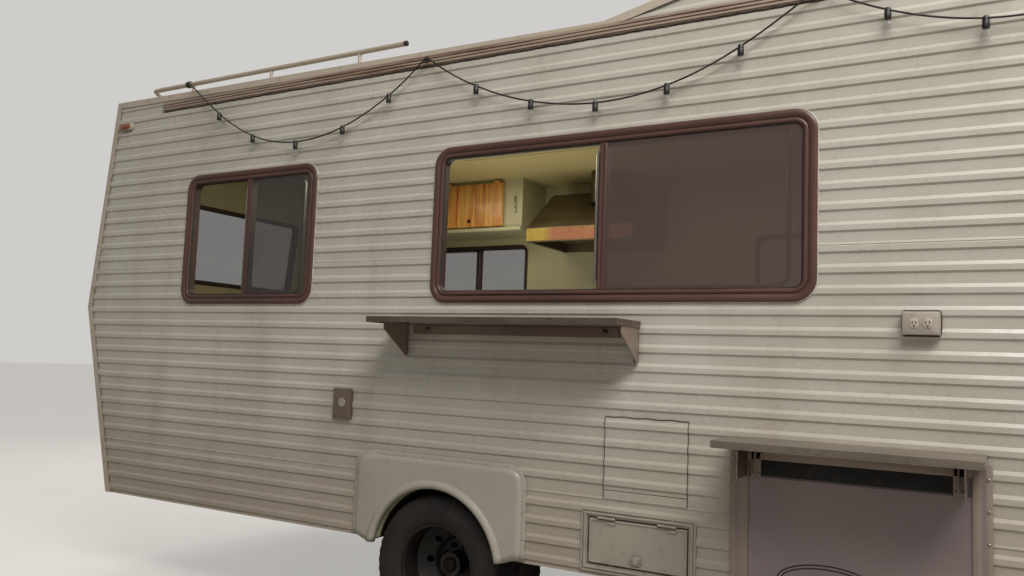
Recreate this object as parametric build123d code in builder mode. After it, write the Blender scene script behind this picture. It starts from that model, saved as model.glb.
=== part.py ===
# Food truck: a mini motorhome on a van chassis, with a serving window and counters on its curb side.
#
# Millimetres. X runs forward, Y to the vehicle's left, Z up, and the ground is Z = 0. While the pieces are
# made, X is a station measured forward from the rear wall's fold; each piece is shifted once at export, so
# that the origin lies on the ground under the middle of the vehicle's length. The curb side faces -Y.

from build123d import *
from math import atan2, degrees, pi, radians, sqrt, tan
import os

# House body: half its width over the flat of the siding, and its sheets
half_width = 1145
wall = 38
roof_thick = 40
floor_z = 784
floor_thick = 66
skirt_z = 460
door_gap = 8
hinge_play = 0.3

# Siding: sheet thickness, rib form and pitch, and each sheet's lower edge with its first rib
siding_thick = 3
rib_height = 6
rib_pitch = 81.6
rib_crest = 24
rib_run = 38
lap_height = 10
lap_proud = 2.5
siding_sheets = ((skirt_z, 478), (784, 845), (1854, 1906))

# Side profile of the house: rear fold, eaves, climbing roof, nose over the cab
fold_z = 1613
rear_foot = 324
rear_head = 154
eaves_rear_z = 2950
eaves_front_z = 2913
climb_x = 3615
roof_rise = 285
crown_x = 4850
crown_z = eaves_front_z + roof_rise
cab_back_x = 5950
cabover_length = 1550
nose_x = cab_back_x + cabover_length
brow_x = nose_x - 700
nose_z = 2440
nose_lean = 70
nose_face = 300
chin_x = nose_x - 270
chin_z = 2120
cabover_foot_x = brow_x - 10
cabover_z = 2064
ceiling_z = 2700
ceiling_thick = 12

# Windows: first and last station, bottom, top, mullion station, whether the rear pane is slid open
curb_windows = ((883, 1931, 1629, 2409, 1408, True), (2717, 4555, 1633, 2408, 3634, True))
street_windows = ((980, 2030, 1629, 2290, 1553, False), (3700, 4750, 1633, 2290, 4225, False))
window_corner = 92
frame_flange = 55
frame_proud = 14
liner_width = 26
mullion_width = 34
sash_width = 30
glass_thick = 5
end_window_half = 560
end_window_corner = 40
rear_window_z = (1850, 2400)
nose_window_part = (0.2, 0.75)

# Running gear
tyre_radius = 352
tyre_width = 215
rim_radius = 210
rim_wall = 8
rear_axle_x = 2800
dual_outer_y = 1030
hub_recess = 55
dual_pitch = 262
front_wheel_y = 850
kingpin_y = 735
kingpin_radius = 18
kingpin_ear = 20
beam_half = 45
axle_tube_radius = 42
spindle_radius = 34
front_spindle_radius = 22
bearing_clearance = 0.3
rear_arch_radius = 364
rear_arch_z = 374
front_arch_radius = 440
rail_y = 430
rail_width = 60
rail_bottom_z = 575
rail_top_z = 715
exhaust_y = -600
exhaust_z = 560
pipe_radius = 26
muffler_radius = 90

# Cab
cab_half_width = 1000
cab_thick = 40
cab_sill_z = 490
cab_floor_z = 730
cab_roof_z = 2060
belt_z = 1300
tumblehome = 60
cab_length = 2025
grille_x = cab_back_x + cab_length
cowl_x = grille_x - 895
cowl_z = 1420
screen_head_x = cowl_x - 360
screen_part = (0.1, 0.92)
screen_half = 860
front_axle_x = grille_x - 625
hood_front_x = grille_x - 75
hood_front_z = 1225
cab_door_x = (cab_back_x + 60, cowl_x - 190)
cab_door_z = (540, 1990)
cab_gap = 10
engine_x = (cowl_x + 40, grille_x - 215)
engine_half = 310
engine_z = (520, 1140)
firewall_x = cowl_x - 30
bumper_front_x = grille_x + 175

# Counters and fittings on the curb side
serving_x = (2530, 3831)
serving_z = 1550
serving_depth = 250
counter_thick = 28
bracket_stations = (2597, 3824)
bracket_depth = 195
bracket_foot_z = 1373
bracket_thick = 5
bay_x = (4232, 5142)
bay_top_z = 1060
bay_border = 34
bay_counter_x = (4234, 5128)
bay_counter_z = 1096
bay_counter_depth = 300
hatch_x = (3580, 4094)
hatch_z = (475, 740)
hatch_border = 30
hatch_thick = 18
hatch_liner = 4
hatch_box_depth = 468
patch_x = (3680, 4052)
patch_z = (790, 1138)
cleat_x = (2645, 3740)
cleat_z = (1478, 1520)
cleat_depth = 20
socket_x = (4859, 4985)
socket_z = (1509, 1595)
socket_depth = 34
inlet_x = (2146, 2259)
inlet_z = (1033, 1187)
inlet_depth = 16
bay_inset_x = (4299, 5082)
bay_inset_top_z = 945
bay_slot_x = (4350, 5021)
bay_slot_z = (951, 1013)
bay_bracket_width = 37
entry_handle_z = (1330, 1490)
entry_x = (5300, 5860)
entry_z = (810, 2500)
fender_x = (2305, 3300)
fender_z = 890
fender_corner = 90
arch_lip = 34

# Values worked out from the ones above
crest_y = half_width + rib_height
core_y = half_width - siding_thick
inner_y = core_y - wall
span_y = half_width + bay_counter_depth
floor_top_z = floor_z + floor_thick

os.makedirs("parts", exist_ok=True)


def save(piece, name):
    """Shift a finished piece from stations to the origin, label it and write its STEP file."""
    shifted = [solid.moved(Location((-origin_x, 0, 0))) for solid in piece.solids()]
    node = shifted[0] if len(shifted) == 1 else Compound(children=shifted)
    node.label = name
    export_step(node, f"parts/{name}.step")


def block(x, y, z, mode=Mode.ADD):
    """A box from the low to the high value on each axis, in the current part."""
    with Locations(((x[0] + x[1]) / 2, (y[0] + y[1]) / 2, (z[0] + z[1]) / 2)):
        Box(x[1] - x[0], y[1] - y[0], z[1] - z[0], mode=mode)


def side_face(points, y, corner=0):
    """A closed XZ outline on the plane at y, with all its corners rounded."""
    with BuildSketch(Plane.XZ.offset(-y)) as face:
        with BuildLine():
            Polyline(*points, close=True)
        make_face()
        if corner:
            fillet(face.vertices(), corner)
    return face.sketch


def side_rect(x, z, y, corner=0):
    """A rectangle with rounded corners on the XZ plane at y."""
    return side_face([(x[0], z[0]), (x[1], z[0]), (x[1], z[1]), (x[0], z[1])], y, corner)


def grown(span, amount):
    """A low and high value, each moved outward by an amount."""
    return (span[0] - amount, span[1] + amount)


def side_ring(x, z, y, width, corner=0):
    """A rectangular ring on the XZ plane at y, its border of the given width."""
    return side_rect(x, z, y, corner) - side_rect(grown(x, -width), grown(z, -width), y, max(corner - width, 0))


def rod(start, end, radius, mode=Mode.ADD):
    """A round bar between two points, in the current part."""
    axis = Vector(*end) - Vector(*start)
    with BuildSketch(Plane(origin=start, z_dir=axis)) as section:
        Circle(radius)
    extrude(section.sketch, amount=axis.length, mode=mode)


def both_sides(piece):
    """The piece together with its mirror image across the centre plane."""
    return Compound(children=[*piece.solids(), *piece.mirror(Plane.XZ).solids()])


def at_station(start, end, x):
    """Height at a station on the line between two (station, height) points."""
    return start[1] + (end[1] - start[1]) * (x - start[0]) / (end[0] - start[0])


def rear_x(z):
    """Station of the rear wall's outer face at a height."""
    if z <= fold_z:
        return rear_foot * (fold_z - z) / (fold_z - skirt_z)
    return rear_head * (z - fold_z) / (eaves_rear_z - fold_z)


def siding_profile(z_top):
    """Pairs of a height and how far the siding stands out there, from the skirt up to z_top."""
    rows = []
    for index, (z_low, first_rib) in enumerate(siding_sheets):
        z_high = siding_sheets[index + 1][0] if index + 1 < len(siding_sheets) else z_top
        rows += [(z_low, lap_proud), (z_low + lap_height, 0)]
        foot = first_rib
        while foot + rib_crest < z_high - 3:
            rows += [(foot - 4, 0), (foot + 4, rib_height), (foot + rib_crest, rib_height)]
            rows.append((min(foot + rib_run, z_high - 1), 0))
            foot += rib_pitch
        rows.append((z_high, 0))
    return rows


def hinge_half(pin, axis, span, radius, leaf, share):
    """One half of a hinge: its part of the barrel along an axis from the pin, and a leaf box beside it."""
    low, high = (span[0], sum(span) / 2 - hinge_play) if share == 0 else (sum(span) / 2, span[1])
    start, end = [list(pin), list(pin)]
    start[axis], end[axis] = low, high
    rod(tuple(start), tuple(end), radius)
    box = [tuple(side) for side in leaf]
    box.insert(axis, (low, high))
    block(*box)


# Rearmost point of the ribbed rear wall, and the station that becomes the origin
rear_most_x = min(rear_x(z) - siding_thick - out for z, out in siding_profile(eaves_rear_z))
origin_x = (rear_most_x + bumper_front_x) / 2

# Side outline of the house
roof_line = [(rear_head, eaves_rear_z), (climb_x, eaves_front_z), (crown_x, crown_z), (brow_x, crown_z)]
nose_line = [(brow_x, crown_z), (nose_x - nose_lean, nose_z + nose_face), (nose_x, nose_z),
             (chin_x, chin_z), (cabover_foot_x, cabover_z)]
house_outline = [(rear_foot, skirt_z), (0, fold_z), *roof_line, *nose_line[1:],
                 (cab_back_x, cabover_z), (cab_back_x, skirt_z)]

# House floor, with joists that rest on the chassis rails
with BuildPart() as floor_slab:
    floor_points = [(rear_x(floor_z) + wall, floor_z), (cab_back_x - wall, floor_z),
                    (cab_back_x - wall, floor_top_z), (rear_x(floor_top_z) + wall, floor_top_z)]
    extrude(side_face(floor_points, inner_y), amount=2 * inner_y)
with BuildPart() as joists:
    for joist_x in range(500, int(cab_back_x) - 100, 600):
        block((joist_x - 25, joist_x + 25), (-inner_y, inner_y), (rail_top_z, floor_z))
save(Compound(children=[*floor_slab.part.solids(), *joists.part.solids()]), "house_floor")


def wall_core(windows, cuts):
    """A side wall's core on the curb side, with its windows, arch and hatches cut through."""
    with BuildPart() as core:
        extrude(side_face(house_outline, -inner_y), amount=wall)
        for x_low, x_high, z_low, z_high, _, _ in windows:
            inset = frame_flange - liner_width
            opening = side_rect(grown((x_low, x_high), -inset), grown((z_low, z_high), -inset),
                                -inner_y + 1, window_corner - inset)
            extrude(opening, amount=wall + 2, mode=Mode.SUBTRACT)
        for x, z in cuts:
            block(x, (-core_y - 1, -inner_y + 1), z, mode=Mode.SUBTRACT)
        rod((rear_axle_x, -inner_y + 1, rear_arch_z), (rear_axle_x, -core_y - 1, rear_arch_z),
            rear_arch_radius, mode=Mode.SUBTRACT)
    return core.part


hatch_opening = (grown(hatch_x, -hatch_border), grown(hatch_z, -hatch_border))
hatch_cut = (grown(hatch_opening[0], hatch_liner), grown(hatch_opening[1], hatch_liner))
entry_opening = (grown(entry_x, door_gap), grown(entry_z, door_gap))
save(wall_core(curb_windows, (hatch_cut, entry_opening)), "curb_wall")
save(wall_core(street_windows, ()).mirror(Plane.XZ), "street_wall")


def wall_siding(windows, cuts):
    """The ribbed sheets of the curb side, cut round windows, arch skirt and hatches."""
    profile = siding_profile(crown_z + 50)
    with BuildPart() as sheet:
        with BuildSketch(Plane.YZ.offset(rear_most_x)) as section:
            with BuildLine():
                Polyline((-core_y, skirt_z), *[(-half_width - out, z) for z, out in profile],
                         (-core_y, crown_z + 50), close=True)
            make_face()
        extrude(amount=nose_x - rear_most_x + 50)
        extrude(side_face(house_outline, -core_y + 1), amount=siding_thick + rib_height + 5, mode=Mode.INTERSECT)
        for x_low, x_high, z_low, z_high, _, _ in windows:
            opening = side_rect((x_low, x_high), (z_low, z_high), -core_y + 1, window_corner)
            extrude(opening, amount=50, mode=Mode.SUBTRACT)
        skirt = side_rect(fender_x, (skirt_z - 100, fender_z), -core_y + 1, fender_corner)
        extrude(skirt, amount=50, mode=Mode.SUBTRACT)
        for x, z in cuts:
            block(x, (-half_width - 50, -core_y + 1), z, mode=Mode.SUBTRACT)
    return sheet.part


bay_cut = (bay_x, (skirt_z - 1, bay_top_z))
siding_pieces = wall_siding(curb_windows, (bay_cut, (hatch_x, hatch_z), entry_opening)).solids()
siding_pieces += wall_siding(street_windows, ()).mirror(Plane.XZ).solids()


def leaf_plane(low, high):
    """Plane in the middle of a wall leaf seen edge-on between two (station, height) points, facing out."""
    foot, head = Vector(low[0], 0, low[1]), Vector(high[0], 0, high[1])
    rise = head - foot
    outward = Vector(rise.Z, 0, -rise.X) if low[0] > origin_x else Vector(-rise.Z, 0, rise.X)
    return Plane(origin=(foot + head) / 2, x_dir=(0, 1, 0), z_dir=outward)


def along(low, high, part):
    """Point at a part of the way from one (station, height) point to another."""
    return tuple(a + (b - a) * part for a, b in zip(low, high))


# End windows: each lies in its own leaf, between two (station, height) points of the outer face
rear_window_ends = [(rear_x(z), z) for z in rear_window_z]
nose_window_ends = [along(nose_line[1], nose_line[0], part) for part in nose_window_part]


def leaf_rect(ends, half, spare, depth, corner=end_window_corner, y=0):
    """A rounded rectangle in a leaf, at a depth inside its outer face and centred on the plane at y."""
    plane = leaf_plane(*ends)
    height = (Vector(*ends[1]) - Vector(*ends[0])).length
    with BuildSketch(plane.offset(-depth)) as opening:
        with Locations((y, 0)):
            RectangleRounded(2 * (half + spare), height + 2 * spare, corner)
    return opening.sketch


# Rear wall: two flat leaves that meet at the fold, with a window in the upper one
rear_wall_top = at_station(roof_line[0], roof_line[1], rear_head + wall) - roof_thick
with BuildPart() as rear_wall:
    leaf_points = [(rear_foot, skirt_z), (0, fold_z), (rear_x(rear_wall_top), rear_wall_top),
                   (rear_x(rear_wall_top) + wall, rear_wall_top), (wall, fold_z), (rear_foot + wall, skirt_z)]
    extrude(side_face(leaf_points, inner_y), amount=2 * inner_y)
    extrude(leaf_rect(rear_window_ends, end_window_half, 0, wall + 30), amount=wall + 60, mode=Mode.SUBTRACT)
    block((0, rear_foot + wall + 1), (-rail_y - 60, rail_y + 60), (skirt_z - 1, rail_top_z + 4), mode=Mode.SUBTRACT)
save(rear_wall.part, "rear_wall")

with BuildPart() as rear_siding:
    outer = [(rear_x(z) - siding_thick - out, z) for z, out in siding_profile(rear_wall_top) if z != fold_z]
    sheet_points = [(rear_foot, skirt_z), *outer, (rear_x(rear_wall_top), rear_wall_top), (0, fold_z)]
    extrude(side_face(sheet_points, inner_y), amount=2 * inner_y)
    extrude(leaf_rect(rear_window_ends, end_window_half, 40, wall + 30), amount=wall + 60, mode=Mode.SUBTRACT)
    block((0, rear_foot), (-rail_y - 60, rail_y + 60), (skirt_z - 1, rail_top_z + 4), mode=Mode.SUBTRACT)
save(Compound(children=[*siding_pieces, *rear_siding.part.solids()]), "siding")

# Roof from the rear wall to the brow of the nose, with a ceiling lining and its end board under it
duct_x, duct_y, duct_radius = 2760, 800, 90
with BuildPart() as roof:
    underside = [(x, z - roof_thick) for x, z in reversed(roof_line)]
    extrude(side_face(roof_line + underside, inner_y), amount=2 * inner_y)
with BuildPart() as ceiling:
    board_x = (cab_back_x - wall - ceiling_thick, cab_back_x - wall)
    ceiling_top_z = ceiling_z + ceiling_thick
    block((rear_x(ceiling_top_z) + wall + 1, board_x[1]), (-inner_y, inner_y), (ceiling_z, ceiling_top_z))
    block(board_x, (-inner_y, inner_y), (ceiling_z, crown_z - roof_thick))
    rod((duct_x, duct_y, ceiling_z), (duct_x, duct_y, ceiling_top_z), duct_radius + 2, mode=Mode.SUBTRACT)
save(Compound(children=[*roof.part.solids(), *ceiling.part.solids()]), "roof")

# Nose over the cab: a bent shell with a window, open to the house behind it
with BuildPart() as cabover:
    shell_points = [*nose_line, (cab_back_x, cabover_z), (cab_back_x, crown_z)]
    extrude(side_face(shell_points, inner_y), amount=2 * inner_y)
    hollow = offset(side_face(shell_points, inner_y), amount=-roof_thick, kind=Kind.INTERSECTION, mode=Mode.PRIVATE)
    extrude(hollow, amount=2 * inner_y, mode=Mode.SUBTRACT)
    block((cab_back_x, brow_x), (-inner_y, inner_y), (cabover_z + roof_thick, crown_z), mode=Mode.SUBTRACT)
    extrude(leaf_rect(nose_window_ends, end_window_half, 0, roof_thick + 30), amount=roof_thick + 60, mode=Mode.SUBTRACT)
save(cabover.part, "cabover")

# Bulkhead behind the cab, with a walk-through and room for the chassis rails
with BuildPart() as cab_bulkhead:
    block((cab_back_x - wall, cab_back_x), (-inner_y, inner_y), (skirt_z, cabover_z))
    block((cab_back_x - wall, cab_back_x), (-430, 430), (floor_top_z, cabover_z - 60), mode=Mode.SUBTRACT)
    block((cab_back_x - wall, cab_back_x), (-rail_y - 60, rail_y + 60), (skirt_z, rail_top_z + 4),
          mode=Mode.SUBTRACT)
    rod((cab_back_x - wall, exhaust_y, exhaust_z), (cab_back_x, exhaust_y, exhaust_z), pipe_radius + 10,
        mode=Mode.SUBTRACT)
save(cab_bulkhead.part, "cab_bulkhead")

# Edge trims: a band along the rear edge, the eaves and the nose, and the awning rail under the eaves
trim_width = 38
trim_proud = 5
awning_rail_x = (599, 5990)
awning_rail_z = eaves_front_z - 62
awning_proud = 9
with BuildPart() as edge_trims:
    trim_outline = [(x - siding_thick - rib_height if x <= rear_foot else x, z) for x, z in house_outline]
    outer_face = side_face(trim_outline, -crest_y)
    inner_face = offset(outer_face, amount=-trim_width, kind=Kind.INTERSECTION, mode=Mode.PRIVATE)
    extrude(outer_face - inner_face, amount=trim_proud)
    trim_y = (-crest_y - trim_proud, -crest_y)
    block((rear_foot + trim_width + 4, cab_back_x), trim_y, (skirt_z, skirt_z + trim_width), mode=Mode.SUBTRACT)
    block((cab_back_x - trim_width, chin_x), trim_y, (skirt_z, cabover_z + trim_width), mode=Mode.SUBTRACT)
    for index in range(3):
        ridge_z = awning_rail_z + 16 * index
        block(awning_rail_x, (-crest_y - awning_proud, -crest_y), (ridge_z, ridge_z + 9))
    block(awning_rail_x, (-crest_y - 3, -crest_y), (awning_rail_z - 6, awning_rail_z + 46))
save(both_sides(edge_trims.part), "edge_trims")


def window_frame(x_low, x_high, z_low, z_high, mullion_x, rear_open):
    """A curb-side window: flange, liner, mullion and slid sash as one frame, and its panes."""
    x, z = (x_low, x_high), (z_low, z_high)
    inset = frame_flange - liner_width
    x_glass, z_glass = grown(x, -frame_flange), grown(z, -frame_flange)
    mullion = grown((mullion_x, mullion_x), mullion_width / 2)
    with BuildPart() as frame:
        extrude(side_ring(x, z, -half_width, frame_flange, window_corner), amount=frame_proud)
        extrude(side_ring(grown(x, -inset), grown(z, -inset), -inner_y, liner_width, window_corner - inset),
                amount=wall + siding_thick)
        block(mullion, (-half_width - 4, -inner_y), z_glass)
        if rear_open:
            sash_x = mullion[1] + 0.3 * (x_glass[1] - mullion[1])
            block((sash_x, sash_x + sash_width), (-inner_y - 14, -inner_y), z_glass)
    with BuildPart() as pane:
        extrude(side_rect((mullion[1], x_glass[1]), z_glass, -core_y), amount=glass_thick)
        if not rear_open:
            extrude(side_rect((x_glass[0], mullion[0]), z_glass, -core_y), amount=glass_thick)
        extrude(side_rect(x_glass, z_glass, -core_y, window_corner - frame_flange), amount=glass_thick,
                mode=Mode.INTERSECT)
    return frame.part, pane.part


def end_window(ends):
    """Frame and pane of a window in a leaning end wall."""
    with BuildPart() as frame:
        ring = leaf_rect(ends, end_window_half, 40, -siding_thick) - leaf_rect(ends, end_window_half, -20, -siding_thick)
        extrude(ring, amount=frame_proud)
        liner = leaf_rect(ends, end_window_half, 0, wall) - leaf_rect(ends, end_window_half, -20, wall)
        extrude(liner, amount=wall + siding_thick)
    with BuildPart() as pane:
        extrude(leaf_rect(ends, end_window_half, -20, glass_thick), amount=glass_thick)
    return frame.part, pane.part


frames, panes = [], []
for row in curb_windows:
    frame_piece, pane_piece = window_frame(*row)
    frames += frame_piece.solids()
    panes += pane_piece.solids()
for row in street_windows:
    frame_piece, pane_piece = window_frame(*row)
    frames += frame_piece.mirror(Plane.XZ).solids()
    panes += pane_piece.mirror(Plane.XZ).solids()
for window_ends in (rear_window_ends, nose_window_ends):
    frame_piece, pane_piece = end_window(window_ends)
    frames += frame_piece.solids()
    panes += pane_piece.solids()
save(Compound(children=frames), "window_frames")
save(Compound(children=panes), "house_glass")

# Moulded skirt round each rear wheel arch, with a rolled lip
with BuildPart() as fender_skirt:
    extrude(side_rect(fender_x, (skirt_z - 20, fender_z), -core_y, fender_corner), amount=siding_thick + 9)
    rod((rear_axle_x, -core_y, rear_arch_z), (rear_axle_x, -half_width - arch_lip, rear_arch_z),
        rear_arch_radius + 30)
    block((fender_x[0], fender_x[1]), (-half_width - arch_lip, -core_y), (-100, skirt_z - 20), mode=Mode.SUBTRACT)
    rod((rear_axle_x, -core_y, rear_arch_z), (rear_axle_x, -half_width - arch_lip, rear_arch_z),
        rear_arch_radius, mode=Mode.SUBTRACT)
save(both_sides(fender_skirt.part), "fender_skirts")

# Entry door, hinged at its front edge
entry_pin = (entry_x[1] + door_gap / 2, -crest_y - 7.3)
entry_hinges = ((950, 1060), (2240, 2350))
with BuildPart() as entry_door:
    block(entry_x, (-half_width, -inner_y - 6), entry_z)
    window_x, window_z = grown(entry_x, -110), (1700, entry_z[1] - 90)
    extrude(side_rect(window_x, window_z, -inner_y, 60), amount=wall + 50, mode=Mode.SUBTRACT)
    extrude(side_ring(grown(window_x, 25), grown(window_z, 25), -half_width, 25, 80), amount=8)
    extrude(side_ring(entry_x, entry_z, -half_width, 40), amount=6)
    block((entry_x[0] + 30, entry_x[0] + 60), (-half_width - 50, -half_width - 38), entry_handle_z)
    for z in grown(entry_handle_z, -10):
        rod((entry_x[0] + 45, -half_width, z), (entry_x[0] + 45, -half_width - 40, z), 7)
    for span in entry_hinges:
        hinge_half((*entry_pin, 0), 2, span, 7, ((entry_pin[0] - 34, entry_pin[0]), (-crest_y - 4, -crest_y)), 0)
save(entry_door.part, "entry_door")
with BuildPart() as entry_glass:
    extrude(side_rect(window_x, window_z, -core_y + 10, 60), amount=glass_thick)
save(entry_glass.part, "entry_glass")

# Storage locker under the floor: its box, border and lid hinged along the top
hatch_pin = (-crest_y - 5, hatch_opening[1][1] - door_gap / 2)
hatch_hinges = ((3660, 3740), (3930, 4010))
with BuildPart() as storage_box:
    x_box, z_box = hatch_opening
    block(hatch_cut[0], (-core_y, -core_y + hatch_box_depth), hatch_cut[1])
    extrude(side_ring(hatch_x, hatch_z, -core_y, hatch_border), amount=siding_thick + rib_height)
    block(x_box, (-crest_y, -core_y + hatch_box_depth - hatch_liner), z_box, mode=Mode.SUBTRACT)
    for span in hatch_hinges:
        hinge_half((0, *hatch_pin), 0, span, 5, ((-crest_y - 2, -crest_y), (hatch_pin[1], hatch_pin[1] + 22)), 0)
save(storage_box.part, "storage_box")

with BuildPart() as storage_hatch:
    lid_x, lid_z = grown(hatch_opening[0], -door_gap), grown(hatch_opening[1], -door_gap)
    knob_x = lid_x[1] - 215
    block(lid_x, (-half_width - 5, -half_width - 5 + hatch_thick), lid_z)
    for span in hatch_hinges:
        leaf_y = (-crest_y - 2, -half_width - 5)
        hinge_half((0, *hatch_pin), 0, span, 5, (leaf_y, (hatch_pin[1] - 26, hatch_pin[1])), 1)
    knob_z = lid_z[0] + 40
    rod((knob_x, -half_width - 5, knob_z), (knob_x, -half_width - 22, knob_z), 14)
save(storage_hatch.part, "storage_hatch")

# Bay below the lower counter: riveted border and an inset panel with a pressed ring
bay_face_y = half_width + rib_height + 4
with BuildPart() as bay_panel:
    x_bay, z_bay = bay_x, (skirt_z, bay_top_z)
    block(x_bay, (-half_width, -core_y), z_bay)
    extrude(side_ring(x_bay, z_bay, -half_width, bay_border), amount=bay_face_y - half_width)
    block(bay_inset_x, (-half_width - 6, -half_width), (skirt_z + bay_border, bay_inset_top_z))
    block(bay_slot_x, (-half_width - 4, -half_width), bay_slot_z)
    for x in (bay_slot_x[0] - bay_bracket_width, bay_slot_x[1]):
        block((x, x + bay_bracket_width), (-half_width - 9, -half_width), (bay_inset_top_z + 1, bay_slot_z[1] + 26))
save(bay_panel.part, "bay_panel")

with BuildPart() as bay_counter:
    block(bay_counter_x, (-span_y, -crest_y), (bay_counter_z - counter_thick, bay_counter_z))
    for x in (bay_counter_x[0] + 60, bay_counter_x[1] - 65):
        block((x, x + bracket_thick), (-bay_face_y - 150, -bay_face_y),
              (bay_counter_z - 150, bay_counter_z - counter_thick))
save(bay_counter.part, "bay_counter")

# Serving counter on two gussets and a cleat
with BuildPart() as serving_counter:
    block(serving_x, (-crest_y - serving_depth, -crest_y), (serving_z - counter_thick, serving_z))
    block(grown(serving_x, -3), (-crest_y - serving_depth + 3, -crest_y),
          (serving_z - counter_thick, serving_z - 4), mode=Mode.SUBTRACT)
save(serving_counter.part, "serving_counter")

with BuildPart() as counter_brackets:
    for x in bracket_stations:
        gusset = [(-crest_y, bracket_foot_z), (-crest_y - 18, bracket_foot_z),
                  (-crest_y - bracket_depth, serving_z - counter_thick - 30),
                  (-crest_y - bracket_depth, serving_z - 4), (-crest_y, serving_z - 4)]
        with BuildSketch(Plane.YZ.offset(x - bracket_thick / 2)) as web:
            with BuildLine():
                Polyline(*gusset, close=True)
            make_face()
        extrude(web.sketch, amount=bracket_thick)
        block((x - 20, x + bracket_thick / 2), (-crest_y - 4, -crest_y), (bracket_foot_z, serving_z - 4))
    block(cleat_x, (-crest_y - cleat_depth, -crest_y), cleat_z)
save(counter_brackets.part, "counter_brackets")

# Small fittings on the curb wall: sealed patch cover, double socket, water inlet plate
patch_thick = 3.5
with BuildPart() as patch_cover:
    patch_rows = siding_profile(crown_z)
    with BuildSketch(Plane.YZ.offset(patch_x[0])) as patch_section:
        with BuildLine():
            Polyline(*[(-half_width - out - patch_thick, z) for z, out in patch_rows],
                     *[(-half_width - out, z) for z, out in reversed(patch_rows)], close=True)
        make_face()
    extrude(amount=patch_x[1] - patch_x[0])
    block(patch_x, (-span_y, -core_y), patch_z, mode=Mode.INTERSECT)
save(patch_cover.part, "patch_cover")

with BuildPart() as wall_fittings:
    block(socket_x, (-crest_y - socket_depth, -crest_y), socket_z)
    block(inlet_x, (-crest_y - inlet_depth, -crest_y), inlet_z)
    for span in entry_hinges:
        hinge_half((*entry_pin, 0), 2, span, 7, ((entry_pin[0], entry_pin[0] + 34), (-crest_y - 4, -crest_y)), 1)
save(wall_fittings.part, "wall_fittings")

# Roof rail on each side: a tube on posts, turned down at its rear end
rail_tube_radius = 14
rail_rise = 62
rail_height = eaves_rear_z + rail_rise
rail_side_y = inner_y - 4
rail_x = (412, 2460)
rail_turn = 42
rail_posts = (800, 1474, 2140)
post_radius = 10
post_foot = 20
with BuildPart() as roof_rail:
    turn_y = -rail_side_y + rail_turn
    foot_y = turn_y + 40
    rail_foot_z = at_station(roof_line[0], roof_line[1], rail_x[0] - rail_tube_radius)
    rail_path = [(rail_x[1], -rail_side_y, rail_height), (rail_x[0] + rail_turn, -rail_side_y, rail_height),
                 (rail_x[0] + 12, 12 - rail_side_y, rail_height), (rail_x[0], turn_y, rail_height - 8),
                 (rail_x[0], foot_y, rail_height - 30), (rail_x[0], foot_y, rail_foot_z)]
    for start, end in zip(rail_path, rail_path[1:]):
        rod(start, end, rail_tube_radius)
    for joint in rail_path[1:-1]:
        with Locations(joint):
            Sphere(rail_tube_radius)
    for x in rail_posts:
        foot_z = at_station(roof_line[0], roof_line[1], x - post_foot)
        rod((x, -rail_side_y, foot_z), (x, -rail_side_y, rail_height), post_radius)
        block(grown((x, x), post_foot), grown((-rail_side_y, -rail_side_y), post_foot), (foot_z, foot_z + 5))
save(both_sides(roof_rail.part), "roof_rail")

# Mushroom fan on the roof over the cooking line
fan_x, fan_y = duct_x, duct_y
fan_foot_z = at_station(roof_line[0], roof_line[1], fan_x)
with BuildPart() as exhaust_fan:
    with BuildSketch(Plane.XZ) as fan_section:
        with BuildLine():
            Polyline((0, 0), (190, 0), (190, 60), (150, 70), (150, 110), (280, 110), (280, 150), (120, 230),
                     (0, 245), close=True)
        make_face()
    revolve(axis=Axis.Z)
roof_fall = degrees(atan2(eaves_rear_z - eaves_front_z, climb_x - rear_head))
save(exhaust_fan.part.moved(Location((fan_x, fan_y, fan_foot_z + 0.3), (0, roof_fall, 0))), "exhaust_fan")

# Chassis: two rails and their cross members, and a towing receiver
receiver_x, receiver_half, receiver_bore = 330, 38, 25.5
receiver_z = rail_bottom_z + 58
cross_width = 60
cross_z = (rail_bottom_z + 20, rail_top_z - 20)
chassis_x = (400, hood_front_x)
chassis_pieces = []
for y in (-rail_y, rail_y):
    with BuildPart() as rail:
        block(chassis_x, grown((y, y), rail_width / 2), (rail_bottom_z, rail_top_z))
    chassis_pieces += rail.part.solids()
cross_half = rail_y - rail_width / 2
cross_stations = (chassis_x[0] + 20, 1350, 2300, 3300, 4300, 5300, 6300, chassis_x[1] - cross_width - 10)
with BuildPart() as cross_members:
    for x in cross_stations:
        block((x, x + cross_width), (-cross_half, cross_half), cross_z)
    block((cross_stations[0], cross_stations[0] + cross_width), grown((0, 0), receiver_half), cross_z,
          mode=Mode.SUBTRACT)
with BuildPart() as receiver:
    block((receiver_x, cross_stations[0] + cross_width), grown((0, 0), receiver_half), cross_z)
    block((receiver_x, cross_stations[0] + cross_width), grown((0, 0), receiver_bore),
          grown((receiver_z, receiver_z), receiver_bore), mode=Mode.SUBTRACT)
    rod((receiver_x + 50, -60, receiver_z), (receiver_x + 50, 60, receiver_z), 8, mode=Mode.SUBTRACT)
chassis_pieces += [*cross_members.part.solids(), *receiver.part.solids()]
save(Compound(children=chassis_pieces), "chassis_frame")

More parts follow.
